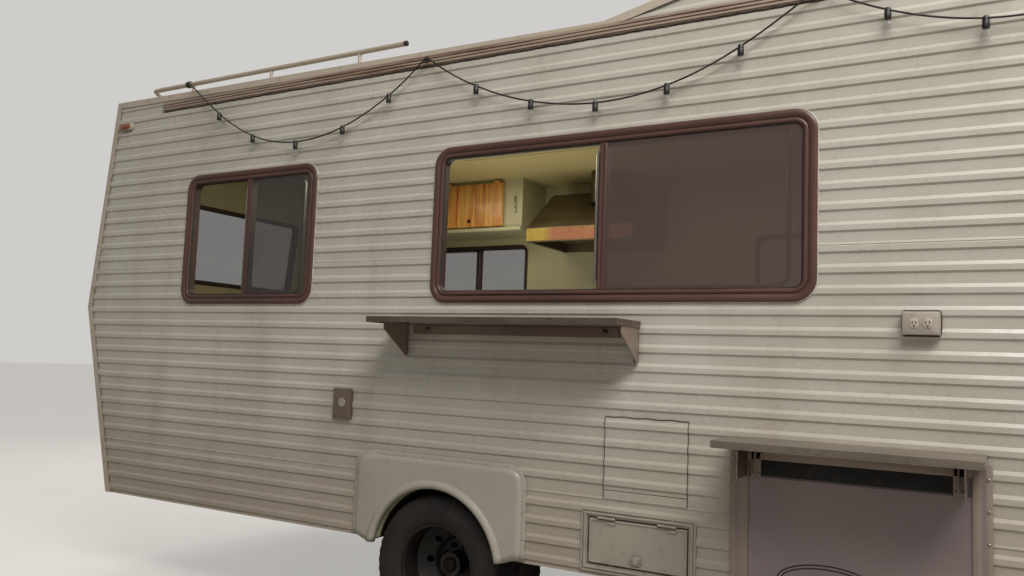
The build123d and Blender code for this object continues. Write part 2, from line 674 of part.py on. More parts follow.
# Rear axle: tube, differential, spindles and leaf packs up to the rails
axle_end_y = dual_outer_y - dual_pitch - 10
spindle_end_y = dual_outer_y - hub_recess
leaf_top_z = rail_bottom_z - 60
with BuildPart() as rear_axle:
    rod((rear_axle_x, -axle_end_y, tyre_radius), (rear_axle_x, axle_end_y, tyre_radius), axle_tube_radius)
    rod((rear_axle_x, -spindle_end_y, tyre_radius), (rear_axle_x, spindle_end_y, tyre_radius), spindle_radius)
    with Locations((rear_axle_x, 0, tyre_radius)):
        Sphere(150)
    for y in (-rail_y, rail_y):
        for index in range(4):
            reach = 640 - 130 * index
            block((rear_axle_x - reach, rear_axle_x + reach), grown((y, y), 32),
                  (leaf_top_z - 12 * (index + 1), leaf_top_z - 12 * index))
        block((rear_axle_x - 60, rear_axle_x + 60), grown((y, y), 36), (tyre_radius + 20, leaf_top_z - 47))
        for x in (rear_axle_x - 620, rear_axle_x + 620):
            block(grown((x, x), 18), grown((y, y), 26), (leaf_top_z, rail_bottom_z))
save(rear_axle.part, "rear_axle")

# Front axle beam with its springs, and the knuckle on each kingpin
ear_top = beam_half + kingpin_ear
with BuildPart() as front_axle:
    block(grown((front_axle_x, front_axle_x), 35), (60 - kingpin_y, kingpin_y - 60), (tyre_radius - 60, tyre_radius + 10))
    for side in (-1, 1):
        block(grown((front_axle_x, front_axle_x), 38), sorted((side * (kingpin_y - 62), side * (kingpin_y - 32))),
              (tyre_radius - ear_top, tyre_radius + ear_top))
        for z in (tyre_radius - ear_top, tyre_radius + beam_half):
            block(grown((front_axle_x, front_axle_x), 32), sorted((side * (kingpin_y - 34), side * (kingpin_y + 26))),
                  (z, z + kingpin_ear))
            rod((front_axle_x, side * kingpin_y, z), (front_axle_x, side * kingpin_y, z + kingpin_ear),
                kingpin_radius + bearing_clearance, mode=Mode.SUBTRACT)
        rod((front_axle_x, side * rail_y, tyre_radius), (front_axle_x, side * rail_y, rail_bottom_z), 52)
save(front_axle.part, "front_axle")

front_spindle_end_y = front_wheel_y + dual_pitch / 2 - 20
for name, side in (("knuckle_left", 1), ("knuckle_right", -1)):
    with BuildPart() as knuckle:
        pin_y = side * kingpin_y
        rod((front_axle_x, pin_y, tyre_radius - ear_top), (front_axle_x, pin_y, tyre_radius + ear_top), kingpin_radius)
        rod((front_axle_x, pin_y, tyre_radius - beam_half + bearing_clearance),
            (front_axle_x, pin_y, tyre_radius + beam_half - bearing_clearance), 27)
        rod((front_axle_x, pin_y, tyre_radius), (front_axle_x, side * front_spindle_end_y, tyre_radius),
            front_spindle_radius)
    save(knuckle.part, name)

# Wheels. Each is drawn round the Y axis with its outer face towards +Y, then turned and placed
side_bulge = 52
bead_inset = 34
with BuildPart() as tyre:
    with BuildSketch(Plane.YZ) as tyre_section:
        with BuildLine():
            half = tyre_width / 2
            Polyline((bead_inset - half, rim_radius), (-half, rim_radius + side_bulge), (4 - half, tyre_radius - 50),
                     (22 - half, tyre_radius - 8), (40 - half, tyre_radius), (half - 40, tyre_radius),
                     (half - 22, tyre_radius - 8), (half - 4, tyre_radius - 50), (half, rim_radius + side_bulge),
                     (half - bead_inset, rim_radius), close=True)
        make_face()
    revolve(axis=Axis.Y)

hub_radius = 58
disc_thick = 10
hand_hole_radius = 17
hand_hole_circle = 148
flange_height = 11.5
with BuildPart() as rim:
    with BuildSketch(Plane.YZ) as rim_section:
        with BuildLine():
            edge = tyre_width / 2 - bead_inset
            mount = -dual_pitch / 2
            barrel = rim_radius - rim_wall
            Polyline((-edge - 0.3, rim_radius), (edge + 0.3, rim_radius), (edge + 8.3, rim_radius + flange_height),
                     (edge + 13, rim_radius + flange_height), (edge + 13, barrel), (30 - edge, barrel),
                     (6 - edge, barrel - 28), (mount + 34, 128), (mount + disc_thick, 112),
                     (mount + disc_thick, hub_radius - 4), (mount, hub_radius - 4), (mount, 118),
                     (mount + 24, 136), (-edge - 6, barrel - 20), (8 - edge, barrel), (-edge - 13, barrel),
                     (-edge - 13, rim_radius + flange_height), (-edge - 8.3, rim_radius + flange_height), close=True)
        make_face()
    revolve(axis=Axis.Y)
    with BuildSketch(Plane.XZ.offset(edge / 2)) as hand_holes:
        with PolarLocations(hand_hole_circle, 8):
            Circle(hand_hole_radius)
    extrude(hand_holes.sketch, amount=-mount, mode=Mode.SUBTRACT)


def placed(piece, x, y, side):
    """A wheel piece at its axle, with its outer face towards the given side."""
    turned = piece if side > 0 else piece.mirror(Plane.XZ)
    return turned.moved(Location((x, y, tyre_radius)))


for name, side in (("left", 1), ("right", -1)):
    inner_dual_y, outer_dual_y = side * (dual_outer_y - dual_pitch), side * dual_outer_y
    pair = [placed(tyre.part, rear_axle_x, y, side).solids()[0] for y in (inner_dual_y, outer_dual_y)]
    save(Compound(children=pair), f"tyres_rear_{name}")
    with BuildPart() as rear_rims:
        add(placed(rim.part, rear_axle_x, outer_dual_y, side))
        add(placed(rim.part, rear_axle_x, inner_dual_y, -side))
        hub_start, hub_end = side * (axle_end_y + bearing_clearance), side * (spindle_end_y + 14)
        rod((rear_axle_x, hub_start, tyre_radius), (rear_axle_x, hub_end, tyre_radius), hub_radius)
        rod((rear_axle_x, hub_start, tyre_radius),
            (rear_axle_x, side * (spindle_end_y + bearing_clearance), tyre_radius),
            spindle_radius + bearing_clearance, mode=Mode.SUBTRACT)
    save(rear_rims.part, f"rims_rear_{name}")
    save(placed(tyre.part, front_axle_x, side * front_wheel_y, side), f"tyre_front_{name}")
    with BuildPart() as front_rim:
        add(placed(rim.part, front_axle_x, side * front_wheel_y, -side))
        hub_start, hub_end = side * (kingpin_y + 50), side * (front_spindle_end_y + 30)
        rod((front_axle_x, hub_start, tyre_radius), (front_axle_x, hub_end, tyre_radius), hub_radius)
        rod((front_axle_x, hub_start, tyre_radius),
            (front_axle_x, side * (front_spindle_end_y + bearing_clearance), tyre_radius),
            front_spindle_radius + bearing_clearance, mode=Mode.SUBTRACT)
    save(front_rim.part, f"rim_front_{name}")

# Engine as a plain block with gearbox and propeller shaft, exhaust and fuel tank
gearbox_length = 620
engine_mount_x = sum(engine_x) / 2
with BuildPart() as engine:
    block(engine_x, (-engine_half, engine_half), engine_z)
    block((engine_x[0] - gearbox_length, engine_x[0]), (-130, 130), (500, rail_top_z - 20))
    rod((rear_axle_x + 152, 0, tyre_radius + 20), (engine_x[0] - gearbox_length, 0, 540), 32)
    for side in (-1, 1):
        block(grown((engine_mount_x, engine_mount_x), 40), sorted((side * engine_half, side * (rail_y - rail_width / 2))),
              (rail_bottom_z + 30, rail_top_z - 30))
save(engine.part, "engine")

exhaust_start, exhaust_end = engine_x[0] - 220, rear_axle_x + tyre_radius + 148
with BuildPart() as exhaust:
    rod((exhaust_end, exhaust_y, exhaust_z), (exhaust_start, exhaust_y, exhaust_z), pipe_radius)
    rod((4400, exhaust_y, exhaust_z), (5200, exhaust_y, exhaust_z), muffler_radius)
    rod((exhaust_end, exhaust_y, exhaust_z), (exhaust_end, exhaust_y - 280, exhaust_z - 40), pipe_radius)
    for x in (4300, 5600):
        block((x, x + 20), grown((exhaust_y, exhaust_y), 12), (exhaust_z, floor_z))
save(exhaust.part, "exhaust")

tank_top_z = rail_top_z - 15
with BuildPart() as fuel_tank:
    block((3700, 5100), (520, 960), (tank_top_z - 220, tank_top_z))
    fillet(fuel_tank.edges().filter_by(Axis.X), 50)
    for x in (3900, 4850):
        block((x, x + 30), (600, 880), (tank_top_z, floor_z))
save(fuel_tank.part, "fuel_tank")


def cab_solid(inset, open_by):
    """The cab's outer form, or with an inset its hollow, which runs on behind and below by open_by."""
    side = [(cab_back_x, cab_sill_z), (cab_back_x, cab_roof_z), (screen_head_x, cab_roof_z), (cowl_x, cowl_z),
            (hood_front_x, hood_front_z), (grille_x, hood_front_z - 80), (grille_x, cab_sill_z)]
    front = [(-cab_half_width + 25, cab_sill_z), (-cab_half_width, 900), (-cab_half_width, belt_z),
             (tumblehome - cab_half_width, cab_roof_z), (cab_half_width - tumblehome, cab_roof_z),
             (cab_half_width, belt_z), (cab_half_width, 900), (cab_half_width - 25, cab_sill_z)]
    plan = [(cab_back_x, -cab_half_width), (hood_front_x - 350, -cab_half_width), (grille_x, 70 - cab_half_width),
            (grille_x, cab_half_width - 70), (hood_front_x - 350, cab_half_width), (cab_back_x, cab_half_width)]
    with BuildPart() as form:
        with BuildSketch(Plane.XZ.offset(-1500)) as side_sketch:
            with BuildLine():
                Polyline(*side, close=True)
            make_face()
            fillet(side_sketch.vertices().sort_by(Axis.X)[-2:].sort_by(Axis.Z)[-1:], 60)
            if inset:
                offset(amount=-inset, kind=Kind.INTERSECTION)
        extrude(side_sketch.sketch, amount=3000)
        with BuildSketch(Plane.YZ.offset(cab_back_x - 500)) as front_sketch:
            with BuildLine():
                Polyline(*front, close=True)
            make_face()
            fillet(front_sketch.vertices().group_by(Axis.Y)[-1], 70)
            if inset:
                offset(amount=-inset, kind=Kind.INTERSECTION)
        extrude(front_sketch.sketch, amount=3000, mode=Mode.INTERSECT)
        with BuildSketch(Plane.XY) as plan_sketch:
            with BuildLine():
                Polyline(*plan, close=True)
            make_face()
            fillet(plan_sketch.vertices().group_by(Axis.X)[-1], 90)
            if inset:
                offset(amount=-inset, kind=Kind.INTERSECTION)
        extrude(plan_sketch.sketch, amount=3000, mode=Mode.INTERSECT)
    if not open_by:
        return form.part
    grown_back = form.part.moved(Location((-open_by, 0, 0)))
    grown_down = form.part.moved(Location((0, 0, -open_by)))
    return form.part + grown_back + grown_down + form.part.moved(Location((-open_by, 0, -open_by)))


cab_outer = cab_solid(0, 0)
cab_hollow = cab_solid(cab_thick, cab_thick)
screen_ends = [along((cowl_x, cowl_z), (screen_head_x, cab_roof_z), part) for part in screen_part]
hood_x = (cowl_x + 20, hood_front_x - 20)
hood_half = 850
grille_half = 790
grille_z = (760, 1090)
pillar_x = 90
screen_slope = (cowl_x - screen_head_x) / (cab_roof_z - cowl_z)
door_top_front_x = screen_head_x + screen_slope * (cab_roof_z - cab_door_z[1]) - pillar_x
door_shoulder_z = cab_roof_z - (cab_door_x[1] + pillar_x - screen_head_x) / screen_slope
door_outline = [(cab_door_x[0], cab_door_z[0]), (cab_door_x[1], cab_door_z[0]), (cab_door_x[1], door_shoulder_z),
                (door_top_front_x, cab_door_z[1]), (cab_door_x[0], cab_door_z[1])]
glass_outline = [(cab_door_x[0] + 70, belt_z + 30), (cab_door_x[1] - 70, belt_z + 30),
                 (cab_door_x[1] - 70, door_shoulder_z - 20), (door_top_front_x - 35, cab_door_z[1] - 65),
                 (cab_door_x[0] + 70, cab_door_z[1] - 65)]

# Hinge pins: across the bonnet's rear edge, and upright in front of each cab door
bonnet_pin = (hood_x[0] - 4, at_station((cowl_x, cowl_z), (hood_front_x, hood_front_z), hood_x[0] - 4) + 6)
bonnet_hinges = ((-620, -540), (540, 620))
door_pin = (cab_door_x[1] + cab_gap / 2, cab_half_width + 7)
cab_door_hinges = ((760, 840), (1160, 1240))
arch_inner_y = 560
with BuildPart() as arch_liners:
    for side in (-1, 1):
        rod((front_axle_x, side * arch_inner_y, tyre_radius + 20),
            (front_axle_x, side * (cab_half_width - cab_thick / 2), tyre_radius + 20), front_arch_radius + 5)
    block(grown((front_axle_x, front_axle_x), front_arch_radius + 10), (-cab_half_width, cab_half_width),
          (-front_arch_radius, cab_sill_z), mode=Mode.SUBTRACT)

with BuildPart() as cab_shell:
    add(cab_outer)
    add(cab_hollow, mode=Mode.SUBTRACT)
    add(arch_liners.part)
    extrude(leaf_rect(screen_ends, screen_half, 0, cab_thick + 30), amount=cab_thick + 60, mode=Mode.SUBTRACT)
    block(grown(hood_x, 8), (-hood_half - 8, hood_half + 8), (1100, cowl_z), mode=Mode.SUBTRACT)
    block((grille_x - 100, grille_x + 10), (-grille_half, grille_half), grille_z, mode=Mode.SUBTRACT)
    for y in (-rail_y, rail_y):
        block((grille_x - 100, grille_x + 10), grown((y, y), rail_width / 2 + 5), (rail_bottom_z - 5, rail_top_z),
              mode=Mode.SUBTRACT)
    for side in (-1, 1):
        with BuildSketch(Plane.XZ.offset(-side * (cab_half_width + 60))) as doorway:
            with BuildLine():
                Polyline(*door_outline, close=True)
            make_face()
            offset(amount=cab_gap, kind=Kind.INTERSECTION)
        extrude(doorway.sketch, amount=side * 260, mode=Mode.SUBTRACT)
        rod((front_axle_x, side * (arch_inner_y - 20), tyre_radius + 20),
            (front_axle_x, side * (cab_half_width + 60), tyre_radius + 20), front_arch_radius, mode=Mode.SUBTRACT)
    half_floor = cab_half_width - cab_thick / 2 - 15
    block((cab_back_x, firewall_x + 25), (-half_floor, half_floor), (cab_floor_z, cab_floor_z + 30))
    block((firewall_x, firewall_x + 25), (-half_floor, half_floor), (cab_floor_z, cowl_z - cab_thick / 2))
    for side in (-1, 1):
        block(grown(cab_door_x, cab_gap), sorted((side * (cab_half_width - cab_thick - 20), side * cab_half_width)),
              (cab_floor_z, cab_floor_z + 30), mode=Mode.SUBTRACT)
        for span in cab_door_hinges:
            fixed_leaf = ((door_pin[0] + 8, door_pin[0] + 32), sorted((side * (door_pin[1] - 27), side * door_pin[1])))
            hinge_half((door_pin[0], side * door_pin[1], 0), 2, span, 7, fixed_leaf, 0)
            block((door_pin[0], door_pin[0] + 10), sorted((side * (door_pin[1] - 5), side * door_pin[1])),
                  (span[0], sum(span) / 2 - hinge_play))
    for span in bonnet_hinges:
        hinge_half((bonnet_pin[0], 0, bonnet_pin[1]), 1, span, 6,
                   ((bonnet_pin[0] - 12, bonnet_pin[0]), (bonnet_pin[1] - 17, bonnet_pin[1] + 2)), 0)
    block((engine_x[0] - 700, firewall_x + 30), (-140, 140), (0, cab_floor_z), mode=Mode.SUBTRACT)
save(cab_shell.part, "cab_shell")

with BuildPart() as bonnet:
    add(cab_outer)
    add(cab_hollow, mode=Mode.SUBTRACT)
    block(hood_x, (-hood_half, hood_half), (1100, cowl_z + 50), mode=Mode.INTERSECT)
    for span in bonnet_hinges:
        hinge_half((bonnet_pin[0], 0, bonnet_pin[1]), 1, span, 6,
                   ((bonnet_pin[0], bonnet_pin[0] + 14), (bonnet_pin[1] - 22, bonnet_pin[1] + 2)), 1)
save(bonnet.part, "bonnet")

with BuildPart() as windscreen:
    extrude(leaf_rect(screen_ends, screen_half, 0, 22), amount=8)
save(windscreen.part, "windscreen")

mirror_top_z, mirror_foot_z = 1760, 1370
mirror_x = (cab_door_x[1] - 90, cab_door_x[1] - 40)
for name, side in (("left", 1), ("right", -1)):
    with BuildPart() as cab_door:
        add(cab_outer)
        add(cab_hollow, mode=Mode.SUBTRACT)
        extrude(side_face(door_outline, side * (cab_half_width + 60)), amount=side * 260, mode=Mode.INTERSECT)
        extrude(side_face(glass_outline, side * (cab_half_width + 60), 40), amount=side * 260, mode=Mode.SUBTRACT)
        handle_y = sorted((side * cab_half_width, side * (cab_half_width + 14)))
        block((cab_door_x[0] + 50, cab_door_x[0] + 170), handle_y, (belt_z - 110, belt_z - 80))
        for span in cab_door_hinges:
            leaf = ((door_pin[0] - 32, door_pin[0] - 8), sorted((side * (door_pin[1] - 27), side * door_pin[1])))
            hinge_half((door_pin[0], side * door_pin[1], 0), 2, span, 7, leaf, 1)
            block((door_pin[0] - 10, door_pin[0]), sorted((side * (door_pin[1] - 5), side * door_pin[1])),
                  (sum(span) / 2, span[1]))
    save(cab_door.part, f"cab_door_{name}")
    with BuildPart() as door_glass:
        add(cab_solid(18, 0))
        add(cab_solid(24, 0), mode=Mode.SUBTRACT)
        extrude(side_face(glass_outline, side * (cab_half_width + 60), 40), amount=side * 260, mode=Mode.INTERSECT)
    save(door_glass.part, f"door_glass_{name}")
    with BuildPart() as mirror_piece:
        block(mirror_x, sorted((side * (span_y - 200), side * span_y)), (mirror_foot_z, mirror_top_z))
        fillet(mirror_piece.edges().filter_by(Axis.X), 30)
        for z in (mirror_foot_z + 60, mirror_top_z - 60):
            skin_y = cab_half_width - tumblehome * (z - belt_z) / (cab_roof_z - belt_z) + 2.5
            foot_x = cab_door_x[1] - max(0, z - door_shoulder_z) * screen_slope - 36
            rod((foot_x, side * skin_y, z), (sum(mirror_x) / 2, side * (span_y - 190), z), 9)
            block(grown((foot_x, foot_x), 22), sorted((side * skin_y, side * (skin_y + 12))), grown((z, z), 22))
    save(mirror_piece.part, f"mirror_{name}")

# Grille with its bars, set in the nose
with BuildPart() as grille:
    block((grille_x - 30, grille_x + 6), (-grille_half, grille_half), grille_z)
    block((grille_x - 30, grille_x + 6), (-430, 430), grown(grille_z, -30), mode=Mode.SUBTRACT)
    for side in (-1, 1):
        block((grille_x - 12, grille_x + 6), sorted((side * 460, side * (grille_half - 25))), grown(grille_z, -25),
              mode=Mode.SUBTRACT)
    bar_z = grille_z[0] + 60
    while bar_z < grille_z[1] - 40:
        block((grille_x - 24, grille_x), (-430, 430), (bar_z, bar_z + 12))
        bar_z += 36
    for y in (-215, 0, 215):
        block((grille_x - 28, grille_x - 10), (y - 8, y + 8), grown(grille_z, -30))
save(grille.part, "grille")


def swept_bumper(x_face, direction, half, z, reach):
    """A bumper channel: a plan outline with swept-back ends, hollow behind its face."""
    back = x_face - direction * 70
    points = [(x_face, -half + 190), (x_face, half - 190), (x_face - direction * 60, half), (x_face - direction * reach, half),
              (x_face - direction * reach, half - 50), (back, half - 210), (back, 210 - half),
              (x_face - direction * reach, 50 - half), (x_face - direction * reach, -half), (x_face - direction * 60, -half)]
    with BuildPart() as channel:
        with BuildSketch(Plane.XY.offset(z[0])) as plan_sketch:
            with BuildLine():
                Polyline(*points, close=True)
            make_face()
        extrude(plan_sketch.sketch, amount=z[1] - z[0])
    return channel.part


# Bumpers on brackets from the rails
rear_bumper_x = 130
with BuildPart() as front_bumper:
    add(swept_bumper(bumper_front_x, 1, cab_half_width + 5, (500, 670), 170))
    for y in (-rail_y, rail_y):
        block((chassis_x[1], bumper_front_x - 70), grown((y, y), 25), (rail_bottom_z + 5, 665))
with BuildPart() as rear_bumper:
    add(swept_bumper(rear_bumper_x, -1, 1060, (500, 650), 115))
    for y in (-rail_y, rail_y):
        block((rear_bumper_x + 70, chassis_x[0]), grown((y, y), 25), (rail_bottom_z + 5, 645))
save(Compound(children=[*front_bumper.part.solids(), *rear_bumper.part.solids()]), "bumpers")

# Lamps: headlamps, tail lamps on the lower rear leaf, markers at the corners and along the brow
tail_ends = [(rear_x(z) - siding_thick - rib_height, z) for z in (980, 1180)]
marker = (35, 17)
marker_lamps = ((235, 2780), (nose_x - 320, 2290))
with BuildPart() as lamps:
    for side in (-1, 1):
        extrude(leaf_rect(tail_ends, 55, 0, 0, 12, side * 900), amount=30)
        rod((grille_x - 12, side * 610, 925), (grille_x + 4, side * 610, 925), 100)
        for x, z in marker_lamps:
            block(grown((x, x), marker[0]), sorted((side * half_width, side * (crest_y + 22))),
                  grown((z, z), marker[1]))
    for y in (-700, -180, 0, 180, 700):
        block((brow_x - 90, brow_x - 20), grown((y, y), 40), (crown_z, crown_z + 26))
save(lamps.part, "lamps")

# Dashboard with steering column and wheel
wheel_centre = (firewall_x - 350, 430, 1305)
column_x = firewall_x - 150
with BuildPart() as dashboard:
    dash_x = firewall_x - 220
    dash = [(dash_x, 1120), (firewall_x, 1060), (firewall_x, 1370), (column_x, 1370), (dash_x, 1300)]
    extrude(side_face(dash, cab_half_width - cab_thick - 30), amount=2 * (cab_half_width - cab_thick - 30))
    rod((column_x, wheel_centre[1], 1180), wheel_centre, 24)
    column_plane = Plane(origin=wheel_centre, z_dir=(wheel_centre[0] - column_x, 0, wheel_centre[2] - 1180))
    with BuildSketch(Plane(origin=wheel_centre, x_dir=column_plane.x_dir, z_dir=column_plane.y_dir)) as rim_circle:
        with Locations((195, 0)):
            Circle(13)
    revolve(rim_circle.sketch, axis=Axis(wheel_centre, tuple(column_plane.z_dir)))
    with BuildSketch(column_plane) as spokes:
        Rectangle(384, 34)
    extrude(spokes.sketch, amount=10)
save(dashboard.part, "dashboard")

# Cab seats
seat_floor_z = cab_floor_z + 30
seat_x = (wheel_centre[0] - 520, wheel_centre[0] - 20)
cushion_z = (seat_floor_z + 180, seat_floor_z + 310)
head_z = seat_floor_z + 960
with BuildPart() as cab_seats:
    for y in (-wheel_centre[1], wheel_centre[1]):
        block((seat_x[0] + 50, seat_x[1] - 60), grown((y, y), 190), (seat_floor_z, cushion_z[0]))
        block(seat_x, grown((y, y), 250), cushion_z)
        back = [(seat_x[0] + 10, cushion_z[1] - 10), (seat_x[0] + 140, cushion_z[1] - 10),
                (seat_x[0] + 40, head_z), (seat_x[0] - 70, head_z)]
        extrude(side_face(back, y + 245, 25), amount=490)
save(cab_seats.part, "cab_seats")

# Kitchen: base units along both walls, wall cupboards and the extraction hood
base_top_z = 1600
worktop_thick = 30
worktop_lip = 15
with BuildPart() as galley:
    for unit_x, unit_y in (((1500, 4400), (inner_y - 550, inner_y)), ((2600, 4600), (-inner_y, -inner_y + 330))):
        block(unit_x, unit_y, (floor_top_z, base_top_z - worktop_thick))
        lip_y = (max(unit_y[0] - worktop_lip, -inner_y), min(unit_y[1] + worktop_lip, inner_y))
        block(grown(unit_x, worktop_lip), lip_y, (base_top_z - worktop_thick, base_top_z))
save(galley.part, "galley")

cupboard_x = (1300, 2135)
cupboard_door_x = (1440, 1986)
cupboard_y = 755
cupboard_bottom_z = 2313
with BuildPart() as overhead_cabinets:
    block(cupboard_x, (cupboard_y, inner_y), (cupboard_bottom_z, ceiling_z))
    block(cupboard_door_x, (cupboard_y - 16, cupboard_y), (cupboard_bottom_z + 38, ceiling_z - 30))
save(overhead_cabinets.part, "overhead_cabinets")

hood_x_low, hood_width = 2309, 790
hood_lip_y = 520
hood_lip_z = (2186, 2284)
hood_back_z = 2584
with BuildPart() as range_hood:
    hood_section = [(inner_y, hood_lip_z[0]), (hood_lip_y, hood_lip_z[0]), (hood_lip_y, hood_lip_z[1]),
                    (inner_y - 200, hood_back_z), (inner_y, hood_back_z)]
    with BuildSketch(Plane.YZ.offset(hood_x_low)) as hood_sketch:
        with BuildLine():
            Polyline(*hood_section, close=True)
        make_face()
    extrude(hood_sketch.sketch, amount=hood_width)
    block((hood_x_low + 30, hood_x_low + hood_width - 30), (hood_lip_y + 30, inner_y - 20),
          (hood_lip_z[0], hood_lip_z[0] + 60), mode=Mode.SUBTRACT)
    duct_top_z = at_station(roof_line[0], roof_line[1], duct_x + duct_radius) - roof_thick
    rod((duct_x, duct_y, hood_back_z - 110), (duct_x, duct_y, duct_top_z), duct_radius)
save(range_hood.part, "range_hood")

# Festoon lights. The cord runs from a clip on the roof rail over two hooks to a connector box
cord_radius = 4
cord_y = -crest_y - 29
hook_z = 2868
hook_stations = (2652, 4560)
hook_ring_radius = 12
rail_clip_x = 760
cord_box = ((5925, 5975), (2838, 2886))
cord_rise = [(776, -1122, 3008), (808, -1144, 3003), (846, -1168, 2990)]
cord_drape = [
    (896, 2956), (956, 2906), (1026, 2849), (1108, 2788), (1192, 2727), (1286, 2670), (1384, 2620), (1485, 2579),
    (1589, 2550), (1695, 2532), (1803, 2527), (1911, 2534), (2017, 2551), (2122, 2578), (2223, 2614),
    (2322, 2659), (2417, 2710), (2508, 2767), (2578, 2822), (2632, 2868), (2672, 2868), (2722, 2828),
    (2808, 2772), (2897, 2721), (2993, 2675), (3091, 2633), (3192, 2598), (3295, 2570), (3400, 2548),
    (3506, 2534), (3612, 2528), (3719, 2531), (3825, 2543), (3930, 2564), (4033, 2593), (4133, 2631),
    (4229, 2676), (4323, 2727), (4414, 2783), (4488, 2831), (4540, 2868), (4580, 2868), (4632, 2832),
    (4712, 2789), (4803, 2747), (4900, 2710), (5000, 2680), (5102, 2659), (5206, 2648), (5310, 2647),
    (5414, 2658), (5516, 2681), (5614, 2715), (5709, 2758), (5790, 2803), (5850, 2842), (5890, 2862),
    (cord_box[0][0], 2862)]
cord_route = [Vector(*point) for point in cord_rise] + [Vector(x, cord_y, z) for x, z in cord_drape]
corner_radii = []
for before, corner, after in zip(cord_route, cord_route[1:], cord_route[2:]):
    shorter = min((corner - before).length, (after - corner).length)
    turn = (corner - before).get_angle(after - corner)
    corner_radii.append(0.45 * shorter / tan(radians(turn) / 2))
with BuildPart() as festoon_cord:
    with BuildLine() as cord_line:
        FilletPolyline(*cord_route, radius=corner_radii)
    with BuildSketch(Plane(origin=cord_route[0], z_dir=cord_route[1] - cord_route[0])):
        Circle(cord_radius)
    sweep(path=cord_line.line)
save(festoon_cord.part, "festoon_cord")
cord_length = sum(piece.length for piece in cord_line.edges())
print(f"cord: length {cord_length:.0f}, smallest radius {min(corner_radii):.0f}, "
      f"volume over section times length {festoon_cord.part.volume / (pi * cord_radius ** 2 * cord_length):.4f}")
print("cord radii", [round(radius) for radius in corner_radii])


def cord_height(x):
    """Height of the cord's drape at a station."""
    for (x_low, z_low), (x_high, z_high) in zip(cord_drape, cord_drape[1:]):
        if x_low <= x <= x_high:
            return at_station((x_low, z_low), (x_high, z_high), x)


socket_radius = 13
socket_height = 40
bulb_radius = 20
bulb_neck = 8
lamp_stations = (1146, 1439, 1778, 2114, 2420, 2959, 3268, 3600, 3935, 4252, 4811, 5137, 5470, 5750)
with BuildPart() as lamp:
    with BuildSketch(Plane.XZ) as lamp_section:
        with BuildLine():
            bulb_centre = -socket_height - sqrt(bulb_radius ** 2 - bulb_neck ** 2)
            Line((0, cord_radius + 3), (socket_radius - 4, cord_radius + 3))
            Line((socket_radius - 4, cord_radius + 3), (socket_radius, -cord_radius))
            Line((socket_radius, -cord_radius), (socket_radius, -socket_height))
            Line((socket_radius, -socket_height), (bulb_neck, -socket_height))
            ThreePointArc((bulb_neck, -socket_height), (bulb_radius, bulb_centre), (0, bulb_centre - bulb_radius))
            Line((0, bulb_centre - bulb_radius), (0, cord_radius + 3))
        make_face()
    revolve(axis=Axis.Z)
lamp_pieces = [lamp.part.solids()[0].moved(Location((x, cord_y, cord_height(x)))) for x in lamp_stations]
save(Compound(children=lamp_pieces), "festoon_lamps")

with BuildPart() as festoon_hooks:
    for x in hook_stations:
        rod((x - 4, cord_y, hook_z), (x + 4, cord_y, hook_z), hook_ring_radius + 4)
        rod((x, -crest_y - awning_proud, hook_z), (x, cord_y, hook_z), 3)
        rod((x - 4, cord_y, hook_z), (x + 4, cord_y, hook_z), hook_ring_radius, mode=Mode.SUBTRACT)
    rod((rail_clip_x - 10, -rail_side_y, rail_height), (rail_clip_x + 10, -rail_side_y, rail_height),
        rail_tube_radius + 7)
    cord_way = (cord_route[1] - cord_route[0]).normalized()
    rod(tuple(cord_route[0] - cord_way * 24), tuple(cord_route[0]), cord_radius + 3)
    rod((rail_clip_x - 20, -rail_side_y, rail_height), (rail_clip_x + 20, -rail_side_y, rail_height),
        rail_tube_radius, mode=Mode.SUBTRACT)
    block(cord_box[0], (cord_y - 22, -crest_y - awning_proud), cord_box[1])
save(festoon_hooks.part, "festoon_hooks")
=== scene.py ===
# Looks of the food truck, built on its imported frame. Stations and sizes are in millimetres where they are
# named, as in the part's source, and at() turns them into the frame's metres.

import bpy
import math
from mathutils import Matrix, Vector


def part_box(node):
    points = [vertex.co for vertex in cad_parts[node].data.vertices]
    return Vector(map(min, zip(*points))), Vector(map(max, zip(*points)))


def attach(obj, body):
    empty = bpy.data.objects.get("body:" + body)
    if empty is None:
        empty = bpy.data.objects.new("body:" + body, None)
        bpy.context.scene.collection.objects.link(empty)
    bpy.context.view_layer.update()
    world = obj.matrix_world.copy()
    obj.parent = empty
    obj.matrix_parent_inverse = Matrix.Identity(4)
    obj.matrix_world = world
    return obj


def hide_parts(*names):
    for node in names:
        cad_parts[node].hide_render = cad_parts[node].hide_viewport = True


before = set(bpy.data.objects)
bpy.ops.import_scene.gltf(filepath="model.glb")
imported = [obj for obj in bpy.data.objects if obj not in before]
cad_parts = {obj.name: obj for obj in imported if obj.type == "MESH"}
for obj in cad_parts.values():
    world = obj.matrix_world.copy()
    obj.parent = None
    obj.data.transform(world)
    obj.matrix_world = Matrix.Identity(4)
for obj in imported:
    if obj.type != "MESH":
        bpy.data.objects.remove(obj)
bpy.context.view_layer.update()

# Places and sizes of the CAD nodes, the same as the part's
origin_x = 8150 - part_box("bumpers")[1].x * 1000
half_width = 1145
crest_y = 1151
inner_y = 1104
window_corner = 92
frame_flange = 55
curb_windows = ((883, 1931, 1629, 2409, 1408), (2717, 4555, 1633, 2408, 3634))
street_windows = ((980, 2030, 1629, 2290, 1553), (3700, 4750, 1633, 2290, 4225))
rear_window = ((27.3, 1850), (90.6, 2400))
nose_window = ((7304.0, 2831.6), (6957.5, 3083.5))
end_window_half = 560
rear_axle_x = 2800
front_axle_x = 7350
tyre_radius = 352
tyre_width = 215
dual_outer_y = 1030
